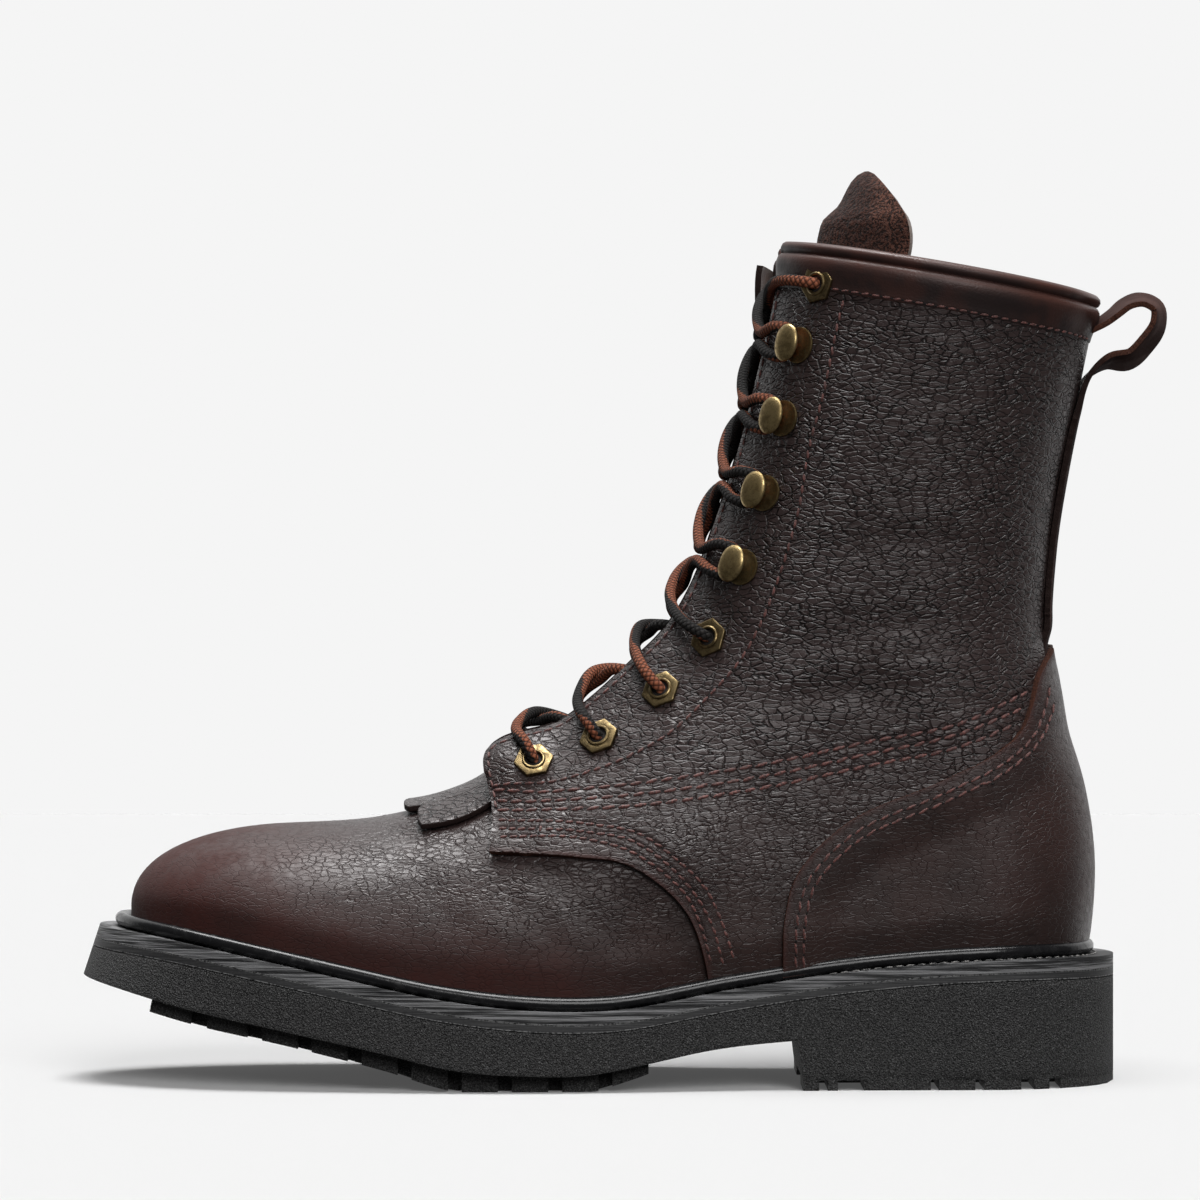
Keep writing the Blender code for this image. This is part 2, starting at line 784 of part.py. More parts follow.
def make_quarters():
    """Overlay on each side: facing, shaft and the curved lower edge."""
    nets = quarter_nets()
    for name, side in (("quarter_lateral", LATERAL), ("quarter_medial", MEDIAL)):
        faces = [skin(net, side, least=SEAM_HALF) for net in nets]
        cuts = [cut_depth(face) for face in faces]
        seam = np.maximum(cuts[0][-len(cuts[1]):, -1], cuts[1][:, 0])
        cuts[0][-len(seam):, -1] = seam
        cuts[1][:, 0] = seam
        lifts = [facing_lift(net[..., 0], net[..., 1]) for net in nets]
        outer = [(raised(face, lift + QUARTER_FACE), False) for face, lift in zip(faces, lifts)]
        backs = [lift + cut + OVERLAY_GAP for lift, cut in zip(lifts, cuts)]
        inner = [(raised(face, back), False) for face, back in zip(faces, backs)]
        make(name, *thick(outer, inner), "pebbled_leather")


def make_counter():
    """Overlay round the heel, from the welt to the counter edge."""
    edge = counter_points()
    inside = edge + np.array(COUNTER_WAY) * COUNTER_CLEAR
    left = inside[:COUNTER_SPLIT + 1]
    top = inside[COUNTER_SPLIT:]
    heel = heel_point()
    top[-1] = back_path(edge[-1, 1] - COUNTER_CLEAR, ANKLE_Z)[0]
    bottom = feather_path(left[0, 0], heel[0])
    bottom[:, 1] = seat(bottom[:, 0]) + OVERLAY_FOOT
    bottom[-1] = back_path(bottom[-1, 1], ANKLE_Z)[0]
    bottom = spread(bottom, len(top) - 1)
    left[0] = bottom[0]
    right = back_path(bottom[-1, 1], top[-1, 1])
    net = patch(bottom, top, left, right, COUNTER_ROWS)
    closed = np.zeros(net.shape[:2], bool)
    closed[-1] = True
    faces = [(skin(net, side, closed), side == MEDIAL) for side in (LATERAL, MEDIAL)]
    outer = [(raised(face, COUNTER_FACE), flip) for face, flip in faces]
    inner = [(raised(face, cut_depth(face) + OVERLAY_GAP), flip) for face, flip in faces]
    make("counter", *thick(outer, inner), "pebbled_leather")


def make_collar():
    """Band below the rim with a rolled top edge over it, from one facing round to the other."""
    throat = throat_path(FACING_X, facing_gap)
    sections = []
    for out, up in COLLAR_SECTION:
        front = below_rim(throat, -up)[-1]
        line = spread(straight(front, rim_end(-up)), COLLAR_COLUMNS)
        closed = np.zeros(len(line), bool)
        closed[-1] = True
        lateral = raised(skin(line, LATERAL, closed), out)
        medial = raised(skin(line, MEDIAL, closed), out)
        sections.append(np.concatenate([lateral, medial[-2::-1]]))
    make("collar", *swept(np.stack(sections, 1), False), "smooth_leather")


def sole_half(x):
    """Half width and middle of the sole's outline."""
    toe = np.clip(1 - (x - TOE_X + SOLE_TOE) / SOLE_TOE_LENGTH, 0, 1) ** ROUND
    heel = np.clip(1 - (HEEL_TIP + SOLE_HEEL - x) / SOLE_HEEL_LENGTH, 0, 1) ** ROUND
    lateral = smooth(x, FOOT, 1)
    medial = smooth(x, FOOT, 2)
    half = (medial - lateral) / 2 + SOLE_SIDE
    return half * np.clip(1 - toe - heel, 0, None) ** (1 / ARCH), (lateral + medial) / 2


def sole_stations():
    """Stations along the sole: its rounded ends, the lugs, the shank, the breast and the heel bars."""
    toe = TOE_X - SOLE_TOE
    heel = HEEL_TIP + SOLE_HEEL
    lugs = [LUG_START + k * LUG_PITCH + end for k in range(LUG_COUNT) for end in (0, LUG_LENGTH)]
    shank = [*SHANK_STATIONS, BREAST_TOP_X, BREAST_FOOT_X]
    cuts = [x for cut in HEEL_CUTS for x in cut] + [HEEL_STATION]
    ends = [toe + step for step in SOLE_ENDS] + [heel - step for step in SOLE_ENDS]
    return np.array(sorted(lugs + shank + cuts + ends))


def is_lug(x):
    """Columns of the underside that are lugs at a station between two cuts."""
    if x < BREAST_TOP_X:
        place = (x - LUG_START) % LUG_PITCH
        inside = LUG_START < x < LUG_START + LUG_COUNT * LUG_PITCH
        return LUG_CELLS if inside and place < LUG_LENGTH else ()
    in_cut = any(start < x < end for start, end in HEEL_CUTS)
    return () if in_cut or x < BREAST_FOOT_X else HEEL_CELLS


def leaned(x, z):
    """Stations moved forward at the toe, where the sole's edge leans out towards the floor."""
    share = 1 - ramp(x, TOE_X - SOLE_TOE, LEAN_START)
    return x - TOE_LEAN * share * (seat(x) - z)


def sole_layer(x, z):
    """Left and right points of the sole's outline at a height for each station."""
    half, middle = sole_half(x)
    sides = [np.column_stack([leaned(x, z), middle + side * half, z]) for side in (LATERAL, MEDIAL)]
    return np.stack(sides, 1)


def make_slab(name, x, top, bottom, material):
    """Layer of the sole between two heights given for each station."""
    upper_edge = sole_layer(x, top)
    lower_edge = sole_layer(x, bottom)
    rings = np.stack([upper_edge[:, 0], upper_edge[:, 1], lower_edge[:, 1], lower_edge[:, 0]], 1)
    make(name, *swept(rings, False), material)


def make_outsole(x):
    """Outsole with shank, heel block, forefoot lugs and heel bars."""
    top = seat(x) - MIDSOLE - GAP
    in_heel = x > BREAST_TOP_X
    base = np.where(in_heel, HEEL_BASE, smooth(x, BOTTOM, 1))
    tread = np.where(in_heel, 0.0, np.maximum(smooth(x, BOTTOM, 2), 0.0))
    half, middle = sole_half(x)
    share = np.array(SOLE_CUTS)
    columns = len(share)

    def layer(z):
        y = middle[:, None] + half[:, None] * share
        return np.stack(np.broadcast_arrays(leaned(x, z)[:, None], y, z[:, None]), -1)

    points = np.concatenate([layer(base), layer(tread)]).reshape(-1, 3)
    number = np.arange(len(points)).reshape(2, len(x), columns)
    roof = sole_layer(x, top)
    roof_number = np.arange(2 * len(x)).reshape(-1, 2) + len(points)
    points = np.concatenate([points, roof.reshape(-1, 3)])
    lugs = {(i, j) for i in range(len(x) - 1) for j in is_lug((x[i] + x[i + 1]) / 2)}
    faces = []
    for i in range(len(x) - 1):
        for j in range(columns - 1):
            deep = number[1 if (i, j) in lugs else 0]
            faces.append((deep[i, j], deep[i, j + 1], deep[i + 1, j + 1], deep[i + 1, j]))
            if (i, j) in lugs:
                around = (
                    ((i, j - 1), (i + 1, j), (i, j)),
                    ((i, j + 1), (i, j + 1), (i + 1, j + 1)),
                    ((i - 1, j), (i, j), (i, j + 1)),
                    ((i + 1, j), (i + 1, j + 1), (i + 1, j)),
                )
                for other, a, b in around:
                    if other not in lugs:
                        faces.append((number[0][a], number[0][b], number[1][b], number[1][a]))
        left, right = roof_number[i], roof_number[i + 1]
        faces.append((left[0], right[0], right[1], left[1]))
        faces.append((left[0], number[0, i, 0], number[0, i + 1, 0], right[0]))
        faces.append((left[1], right[1], number[0, i + 1, -1], number[0, i, -1]))
    faces.append((roof_number[0, 0], roof_number[0, 1]) + tuple(number[0, 0, ::-1]))
    faces.append((roof_number[-1, 1], roof_number[-1, 0]) + tuple(number[0, -1]))
    used = sorted({int(k) for face in faces for k in face})
    new = {k: i for i, k in enumerate(used)}
    make("outsole", points[used], [tuple(new[int(k)] for k in face) for face in faces], "rubber")


def make_sole():
    """Outsole and midsole."""
    x = sole_stations()
    make_outsole(x)
    make_slab("midsole", x, seat(x), seat(x) - MIDSOLE, "rubber")


def welt_loop():
    """Closed loop round the foot of the upper, with its outward direction in plan."""
    path = upper_nets()[0][:, 0]
    closed = np.zeros(len(path), bool)
    closed[[0, -1]] = True
    lateral = skin(path, LATERAL, closed)
    medial = skin(path, MEDIAL, closed)
    loop = np.concatenate([lateral, medial[-2:0:-1]])[:, :2]
    along = np.roll(loop, -1, axis=0) - np.roll(loop, 1, axis=0)
    out = np.column_stack([-along[:, 1], along[:, 0]])
    out = out / np.linalg.norm(out, axis=1, keepdims=True)
    if np.dot(out[0], (-1.0, 0.0)) < 0:
        out = -out
    return loop, out


def make_welt():
    """Rounded bead that runs round the foot of the upper on the midsole."""
    loop, out = welt_loop()
    sections = []
    for away, up in WELT_SECTION:
        place = loop + out * away
        sections.append(np.column_stack([place, seat(place[:, 0]) + up]))
    make("welt", *swept(np.stack(sections, 1), True), "glossy_welt")


def make_insole():
    """Plate on the midsole inside the wall."""
    loop, out = welt_loop()
    columns = len(loop) // 2
    place = loop - out * INSOLE_INSET
    lateral = place[1:columns]
    medial = place[:columns:-1]
    x = (lateral[:, 0] + medial[:, 0]) / 2
    rings = []
    for edge, up in ((lateral, GAP), (medial, GAP), (medial, GAP + INSOLE), (lateral, GAP + INSOLE)):
        rings.append(np.column_stack([x, edge[:, 1], seat(x) + up]))
    make("insole", *swept(np.stack(rings, 1), False), "insole_board")


def crest_frame(run):
    """Crest point, its direction and the direction into the boot, by run from the throat."""
    crest = FRONT[:, :2]
    length = run_length(crest)
    start = np.interp(THROAT_X, crest[:, 0], length)
    place = np.array([np.interp(start + run, length, crest[:, k]) for k in (0, 1)])
    ahead = np.array([np.interp(start + run + 1, length, crest[:, k]) for k in (0, 1)])
    along = (ahead - place) / np.linalg.norm(ahead - place)
    return place, along, np.array((along[1], -along[0]))


def crest_section(run, y):
    """Points of the last's skin across the crest at a run from the throat, at offsets y."""
    place, _, inwards = crest_frame(run)
    low = np.zeros(len(y))
    high = np.full(len(y), SEARCH_DEPTH)
    for _ in range(HALVINGS):
        middle = (low + high) / 2
        q = place + inwards * middle[:, None]
        wide = width(q[:, 0], q[:, 1])[0] > np.abs(y)
        high = np.where(wide, middle, high)
        low = np.where(wide, low, middle)
    q = place + inwards * high[:, None]
    return np.column_stack([q[:, 0], width(q[:, 0], q[:, 1])[1] + y, q[:, 1]])


def make_tongue():
    """Curved sheet behind the throat, with a narrow tip that leans back above the collar."""
    share = np.linspace(-1, 1, TONGUE_CUTS + 1)
    outer = []
    inner = []
    for run in np.linspace(TONGUE_ROWS[0, 0], TONGUE_ROWS[-1, 0], TONGUE_STATIONS):
        half = smooth(run, TONGUE_ROWS, 1)
        depth = smooth(run, TONGUE_ROWS, 2)
        row = crest_section(run, half * share)
        bow = smooth(run, TONGUE_ROWS, 3) * np.outer(share ** 2, (1.0, 0.0, 0.0))
        outer.append(raised(row, -depth) + bow)
        inner.append(raised(row, -depth - TONGUE) + bow)
    back = np.array((1.0, 0.0, -TIP_SLOPE)) / math.hypot(1.0, TIP_SLOPE)
    for z, x, half, bow in TIP_ROWS:
        row = np.column_stack([x + bow * share ** 2, half * share, np.full(len(share), z)])
        outer.append(row)
        inner.append(row + back * TONGUE)
    make("tongue", *thick([(np.stack(outer), False)], [(np.stack(inner), False)]), "suede")


def make_kiltie():
    """Fringed sheet that lies on the vamp and goes under the facings."""
    edges = np.linspace(-KILTIE_HALF, KILTIE_HALF, KILTIE_FINGERS + 1)
    cuts = []
    for left, right in zip(edges, edges[1:]):
        cuts += [left + KILTIE_SLIT / 2, right - KILTIE_SLIT / 2]
    cuts = np.array(cuts)
    bend = (np.abs(cuts) / KILTIE_HALF) ** 2
    tip = KILTIE_TIP + (KILTIE_SIDE_TIP - KILTIE_TIP) * bend
    rows = []
    straight_rows = [np.full(len(cuts), x) for x in (KILTIE_ROOT, *KILTIE_STATIONS, KILTIE_BACK)]
    for x in (tip, (tip + KILTIE_ROOT) / 2, *straight_rows):
        across = cuts * (1 - KILTIE_TAPER * ramp(x, KILTIE_ROOT, KILTIE_BACK))
        crest = np.interp(x, FRONT[:, 0], FRONT[:, 1])
        low, high = crest - SEARCH_DEPTH, crest
        for _ in range(HALVINGS):
            middle = (low + high) / 2
            wide = width(x, middle)[0] > np.abs(across)
            low = np.where(wide, middle, low)
            high = np.where(wide, high, middle)
        rows.append(np.column_stack([x, width(x, low)[1] + across, low]))
    face = np.stack(rows)
    outer = raised(face, KILTIE_FACE)
    inner = raised(face, cut_depth(face) + GAP)
    root = 2
    pieces = [slice(2 * k, 2 * k + 2) for k in range(KILTIE_FINGERS)]
    outer_grids = [(outer[:root + 1, piece], False) for piece in pieces] + [(outer[root:], False)]
    inner_grids = [(inner[:root + 1, piece], False) for piece in pieces] + [(inner[root:], False)]
    make("kiltie", *thick(outer_grids, inner_grids), "pebbled_leather")


def make_backstay():
    """Strip up the back seam, which loops out at the top to make the pull loop."""
    glued = back_path(STRIP_START_Z, STRIP_LEAVE_Z)[::GLUED_STEP]
    rise = QUARTER_FACE + 2 * GAP + STRIP / 2
    middle = raised(skin(glued, MEDIAL, np.ones(len(glued), bool)), rise)[:, [0, 2]]
    path = drawn(np.concatenate([middle, np.array(LOOP)]), STRIP_STATIONS)
    along = np.gradient(path, axis=0)
    along = along / np.linalg.norm(along, axis=1, keepdims=True)
    out = np.column_stack([along[:, 1], -along[:, 0]])
    sag = STRIP_SAG * (1 - ramp(run_length(path), *STRIP_FLATTENS))
    grids = []
    for height in (STRIP / 2, -STRIP / 2):
        columns = []
        for share in (-1.0, 0.0, 1.0):
            place = path + out * (height - sag * share ** 2)[:, None]
            y = np.full(len(place), share * STRIP_WIDTH / 2)
            columns.append(np.column_stack([place[:, 0], y, place[:, 1]]))
        grids.append([(np.stack(columns, 1), False)])
    make("backstay", *thick(*grids), "smooth_leather")


def facing_frame(x, z, side):
    """Place on the quarter's outer face with its outward, upward and forward directions."""
    steps = np.array(((0, 0), (1, 0), (-1, 0), (0, 1), (0, -1)))
    net = np.array((x, z)) + FOOTPRINT * steps
    lift = facing_lift(net[:, 0], net[:, 1])
    place = raised(skin(net, side), lift + QUARTER_FACE)
    out = np.cross(place[1] - place[2], place[3] - place[4]) * -side
    out = out / np.linalg.norm(out)
    k = int(np.argmin(np.hypot(FRONT[:, 0] - x, FRONT[:, 1] - z)))
    along = FRONT[k + 1, :2] - FRONT[k - 1, :2]
    up = np.array((along[0], 0.0, along[1]))
    up = up - out * np.dot(up, out)
    up = up / np.linalg.norm(up)
    seat_height = np.max((place - place[0]) @ out)
    return place[0] + out * (max(seat_height, 0.0) + BRASS_GAP), out, up, np.cross(up, out) * side


def make_eyelet(name, x, z, side):
    """Six-sided ring round a lace hole."""
    place, out, up, front = facing_frame(x, z, side)
    angle = np.radians(np.arange(0, 360, 60))
    rings = []
    for radius, height in ((EYELET_RADIUS, 0.0), (EYELET_RADIUS, EYELET_HEIGHT),
                           (EYELET_HOLE, EYELET_HEIGHT), (EYELET_HOLE, 0.0)):
        ring = np.outer(radius * np.cos(angle), front) + np.outer(radius * np.sin(angle), up)
        rings.append(place + ring + out * height)
    make(name, *swept(np.stack(rings, 1), True), "antique_brass")


def make_hook(name, x, z, side):
    """Speed hook: round foot, neck and a long cap that leans towards the front."""
    place, out, up, front = facing_frame(x, z, side)
    angle = np.linspace(0, 2 * math.pi, HOOK_SIDES, endpoint=False)
    rings = []
    for radius, height, stretch, shift in HOOK_PROFILE:
        across = np.outer(radius * np.cos(angle) + shift, front)
        rings.append(place + across + np.outer(radius * stretch * np.sin(angle), up) + out * height)
    make(name, *swept(np.stack(rings), False), "antique_brass")


def make_hardware():
    """Eyelets and hooks on both facings."""
    for word, side in (("lateral", LATERAL), ("medial", MEDIAL)):
        for number, x, z in EYELETS:
            make_eyelet(f"eyelet_{word}_{number}", x, z, side)
        for number, x, z in HOOKS:
            make_hook(f"hook_{word}_{number}", x, z, side)


def lace_strand(low, high, clear=LACE_CLEAR):
    """Tube across the throat from one run on the outer side to another on the inner side."""
    share = np.linspace(-1, 1, LACE_POINTS)
    path = []
    for t in share:
        run = low + (high - low) * (t + 1) / 2
        row = crest_section(run, np.array([LACE_REACH * t]))
        lift = facing_lift(row[:, 0], row[:, 2])
        path.append(raised(row, QUARTER_FACE + lift + clear + LACE_RADIUS)[0])
    path = np.array(path)
    along = np.gradient(path, axis=0)
    along = along / np.linalg.norm(along, axis=1, keepdims=True)
    across = np.cross(along, outward(path))
    across = across / np.linalg.norm(across, axis=1, keepdims=True)
    lift = np.cross(across, along)
    angle = np.linspace(0, 2 * math.pi, LACE_SIDES, endpoint=False)
    rings = [path + LACE_RADIUS * (math.cos(a) * across + math.sin(a) * lift) for a in angle]
    return swept(np.stack(rings, 1), False)


def make_lace():
    """Bottom bar and the crossings above it, each crossing two strands joined in the middle."""
    place = sorted(EYELETS + HOOKS)
    crest = FRONT[:, :2]
    length = run_length(crest)
    start = np.interp(THROAT_X, crest[:, 0], length)
    runs = []
    for _, x, z in place:
        k = int(np.argmin(np.hypot(crest[:, 0] - x, crest[:, 1] - z)))
        runs.append(length[k] - start)
    make("lace_bar", *lace_strand(runs[0], runs[0], BAR_CLEAR), "lace")
    for k, (low, high) in enumerate(zip(runs, runs[1:])):
        quarter = (high - low) / 4
        cross = make(f"lace_cross_{k + 1}", *lace_strand(low + quarter, high - quarter), "lace")
        other = make(f"lace_cross_{k + 1}_over", *lace_strand(high - quarter, low + quarter), "lace")
        other.hide_render = True
        other.display_type = "WIRE"
        union = cross.modifiers.new("joined", "BOOLEAN")
        union.operation = "UNION"
        union.solver = "EXACT"
        union.object = other


def main():
    for piece in list(bpy.data.objects):
        bpy.data.objects.remove(piece)
    make_sole()
    make_welt()
    make_insole()
    make_upper()
    make_quarters()
    make_counter()
    make_collar()
    make_backstay()
    make_tongue()
    make_kiltie()
    make_hardware()
    make_lace()


main()
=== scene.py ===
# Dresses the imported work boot: leather, stitches, brass, lace and rubber round the fixed frame.
# Sizes and tables are in millimetres, as in the part's source, and meshes are written in metres.
import math
import random

import bpy
import numpy as np
from mathutils import Matrix


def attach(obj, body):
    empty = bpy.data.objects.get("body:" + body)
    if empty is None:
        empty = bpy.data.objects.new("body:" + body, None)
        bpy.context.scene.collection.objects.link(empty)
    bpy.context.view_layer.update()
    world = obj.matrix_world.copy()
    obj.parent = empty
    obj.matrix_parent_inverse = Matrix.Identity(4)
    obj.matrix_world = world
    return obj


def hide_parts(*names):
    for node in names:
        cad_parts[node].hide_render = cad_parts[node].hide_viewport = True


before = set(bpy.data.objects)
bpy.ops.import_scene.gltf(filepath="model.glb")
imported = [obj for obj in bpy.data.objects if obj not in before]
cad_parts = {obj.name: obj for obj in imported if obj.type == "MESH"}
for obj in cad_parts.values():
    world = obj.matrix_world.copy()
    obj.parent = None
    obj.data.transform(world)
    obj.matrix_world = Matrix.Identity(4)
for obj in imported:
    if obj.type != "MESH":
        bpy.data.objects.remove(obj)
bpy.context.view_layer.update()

MM = 0.001
LATERAL = -1
MEDIAL = 1
SIDES = (("lateral", LATERAL), ("medial", MEDIAL))
draw = random.Random(8)
noise = np.random.default_rng(8)

# Thicknesses and how far each outer face lies off the last
WALL = 2.2
GAP = 0.3
QUARTER_FACE = 2.4
QUARTER_SHEET = 1.9
COUNTER_FACE = 2.8
COUNTER_STEP = 1.7
COUNTER_SHEET = 2.0
KILTIE_FACE = 2.2
KILTIE_SHEET = 1.7
TONGUE = 2.2
OVERLAY_FOOT = 1.2

# Rounding of each piece's edges
WALL_SOFT = 0.4
QUARTER_SOFT = 0.5
COUNTER_SOFT = 0.75
KILTIE_SOFT = 0.25
TONGUE_SOFT = 0.8
STRIP_SOFT = 0.45
INSOLE_SOFT = 0.3
OUTSOLE_SOFT = 0.5
MIDSOLE_SOFT = 0.35
TREAD_SOFT = 0.4

# Last: exponents of its rounding, toe cap length, flare above the welt and the ankle blend
ARCH = 2.1
ROUND = 2.15
TOE_X = -149.2
TOE_LENGTH = 52.0
BULGE = 2.2
BULGE_HEIGHT = 14.0
ANKLE_LOW = 62.0
ANKLE_HIGH = 135.0

# Crest of the last in side view: vamp ridge, instep and shin, with the depth it rounds over
FRONT_ROWS = (
    # x, z, depth
    (-176.0, 77.3, 26.0),
    (-120.0, 77.5, 26.0),
    (-97.0, 77.7, 32.0),
    (-74.0, 79.4, 42.0),
    (-55.0, 84.4, 50.0),
    (-43.5, 89.2, 54.0),
    (-37.0, 93.6, 56.0),
    (-22.0, 104.2, 58.0),
    (-2.0, 121.5, 58.0),
    (11.0, 135.0, 56.0),
    (20.0, 150.5, 53.0),
    (28.6, 172.5, 51.0),
    (35.2, 193.0, 50.0),
    (45.0, 232.5, 48.0),
    (53.0, 275.0, 48.0),
)

# Back of the last in side view, with the depth it rounds over
BACK_ROWS = (
    # x, z, depth
    (136.0, 30.0, 36.0),
    (139.2, 50.0, 36.0),
    (139.9, 66.0, 36.0),
    (137.2, 87.4, 38.0),
    (130.0, 111.7, 42.0),
    (125.6, 132.0, 45.0),
    (126.4, 158.0, 47.0),
    (131.0, 188.0, 48.0),
    (137.0, 216.0, 48.0),
    (147.0, 260.0, 48.0),
)

# Plan of the last at the welt: how far each side lies from the middle plane
FOOT = np.array((
    # x, lateral, medial
    (-150.0, -36.0, 42.0),
    (-95.0, -44.0, 47.0),
    (-60.0, -47.8, 48.9),
    (-30.0, -48.8, 46.5),
    (0.0, -45.5, 39.5),
    (40.0, -39.0, 32.5),
    (75.0, -36.0, 32.5),
    (105.0, -35.0, 33.5),
    (145.0, -34.5, 33.5),
))

# Half width of the shaft by height
SHAFT = np.array((
    # z, half width
    (60.0, 36.5),
    (120.0, 36.5),
    (150.0, 37.5),
    (190.0, 40.0),
    (230.0, 42.5),
    (280.0, 45.0),
))

# Top of the midsole, which carries welt, upper and insole
SEAT = np.array((
    # x, z
    (-172.0, 48.6),
    (-134.0, 44.0),
    (-106.0, 38.5),
    (-80.0, 32.8),
    (-54.0, 27.4),
    (-30.0, 24.5),
    (-7.0, 24.0),
    (34.0, 30.4),
    (60.0, 34.2),
    (90.0, 37.2),
    (114.0, 38.4),
    (152.0, 38.4),
))

# Sole: margins round the welt line, layer thickness and how the toe edge leans forward
SOLE_SIDE = 5.6
SOLE_TOE = 9.4
SOLE_HEEL = 9.0
HEEL_TIP = 139.2
SOLE_TOE_LENGTH = 60.0
SOLE_HEEL_LENGTH = 44.0
MIDSOLE = 6.2
TOE_LEAN = 0.33
LEAN_START = -105.0

# Underside of the outsole between its lugs, and the height that the lugs reach down to
BOTTOM = np.array((
    # x, base, tread
    (-170.0, 34.6, 31.5),
    (-147.0, 29.3, 25.6),
    (-123.0, 22.8, 18.4),
    (-97.0, 17.2, 12.6),
    (-71.0, 11.6, 6.2),
    (-49.0, 6.6, 0.0),
    (-30.0, 5.2, 0.0),
    (-9.5, 5.4, 0.0),
    (3.0, 7.6, 3.6),
    (25.7, 12.2, 12.2),
    (60.0, 15.6, 15.6),
))
BREAST_TOP_X = 51.5
BREAST_FOOT_X = 53.0
HEEL_BASE = 3.0
LUG_START = -136.6
LUG_PITCH = 14.8
LUG_LENGTH = 10.7
LUG_COUNT = 10
LUG_TIE = 0.78
LUG_TIE_LAP = 0.5
TREAD_ROOT = 0.8
HEEL_BAR_INSET = 2.0
SOLE_STATIONS = 230
HEEL_CUTS = (
    # start, end
    (57.7, 60.3),
    (63.3, 71.0),
    (90.8, 93.2),
    (104.0, 106.7),
    (117.7, 121.6),
    (126.3, 129.7),
)
LUG_SHARES = ((-0.88, -0.4), (-0.32, 0.32), (0.4, 0.88))
HEEL_SHARES = ((-1.0, -0.4), (-0.32, 0.32), (0.4, 1.0))

# Welt bead, as offsets from the foot of the upper
WELT_BEAD = (
    # out, up
    (0.4, 0.1),
    (2.8, 0.1),
    (4.3, 0.6),
    (4.9, 1.7),
    (4.8, 2.9),
    (4.1, 3.9),
    (2.9, 4.4),
    (1.5, 4.2),
    (0.5, 3.4),
)

# Insole: distance inside the welt line, height of its top, dish of its edges and thickness
INSOLE_IN = 2.6
INSOLE_TOP = 3.2
INSOLE_DISH = 0.8
INSOLE_SHEET = 2.6

# Upper net
RIDGE_COLUMNS = 64
THROAT_COLUMNS = 24
ANKLE_COLUMNS = 52
FOOT_ROWS = 46
SHAFT_ROWS = 40
TOE_TURN = 55.0
THROAT_X = -27.0
THROAT_GAP = 11.5
THROAT_RUN = 14.0
FOOT_SPLIT = (-20.0, 28.0)
INSTEP_Z = 131.0
ANKLE_Z = 137.0

# Rim of the upper, which falls from front to back
RIM_FRONT_X = 48.0
RIM_FRONT_Z = 250.0
RIM_FALL = 0.172
BAND_HEIGHT = 10.0

# Collar: a thin roll on top, a groove and a soft band that runs out to a sewn hem
COLLAR_COLUMNS = 72
COLLAR_TIP = 1.7
# Red-brown bands on the collar, part wear and part painted highlight: along the top of the roll and along
# the band's upper edge
COLLAR_RUBS_AND_HIGHLIGHTS = (
    # up, width, strength
    (2.6, 1.2, 1.0),
    (-1.8, 1.3, 0.8),
)
COLLAR_PROFILE = (
    # out, up
    (-2.5, -2.0),
    (-2.7, 0.4),
    (-2.2, 2.0),
    (-1.0, 2.9),
    (0.6, 3.1),
    (2.0, 2.9),
    (2.9, 2.2),
    (3.2, 1.2),
    (2.9, 0.3),
    (2.2, -0.2),
    (2.1, -0.5),
    (2.9, -0.9),
    (3.6, -1.8),
    (3.9, -3.2),
    (3.8, -4.8),
    (3.4, -6.6),
    (3.0, -8.2),
    (2.8, -9.6),
    (2.7, -11.0),
    (2.3, -11.4),
    (1.0, -11.2),
    (0.6, -8.0),
    (0.2, -2.2),
)

# Quarter: front edge of the facing, curved lower edge, and how far the facing stands up there
FACING_X = -40.5
FACING_GAP = 13.0
FACING_ROUND = 7.0
FRONT_LIFT = 6.2
FRONT_LIFT_RANGE = (-33.0, -14.0)
FRONT_LIFT_LOW = (80.0, 92.0)
EDGE_LIFT = 2.0
EDGE_LIFT_RANGE = (4.0, 24.0)
LIFT_DEPTH = (3.0, 15.0)
QUARTER_FRONT = ((-39.4, 69.4), (-38.4, 78.0), (-38.0, 84.0))
QUARTER_LOWER = (
    (-39.4, 69.4),
    (-13.0, 68.6),
    (0.0, 67.0),
    (10.0, 61.3),
    (18.0, 53.0),
    (22.8, 41.6),
    (24.4, 34.0),
    (25.0, 28.0),
)
QUARTER_COLUMNS = (80, 16, 96)
QUARTER_ANKLE = 122
QUARTER_ROWS = (96, 50)
SEAM_HALF = 0.5
EDGE_RUB = 0.5
EDGE_RUB_WIDTH = 1.1
SEAM_DRAW = 0.4
SEAM_WIDTH = 0.8

# Top corner of the far facing, which stands forward
CORNER_RANGE = (212.0, 240.0)
CORNER_DEPTH = (2.0, 12.0)
CORNER_SHIFT = (-5.5, 0.0, 6.0)

# Counter edge from the welt up to the back seam
COUNTER_EDGE = (
    (46.6, 32.0),
    (47.4, 51.2),
    (50.0, 61.6),
    (55.7, 69.9),
    (63.9, 77.3),
    (95.6, 91.9),
    (109.8, 99.2),
    (115.7, 104.5),
    (119.3, 113.0),
    (121.5, 122.0),
    (126.2, 129.8),
)
COUNTER_STEP_RANGE = (5.0, 17.0)
COUNTER_OUT = -0.2
QUARTER_UNDER = 2.6
COUNTER_SPLIT = 25
COUNTER_ROWS = 40

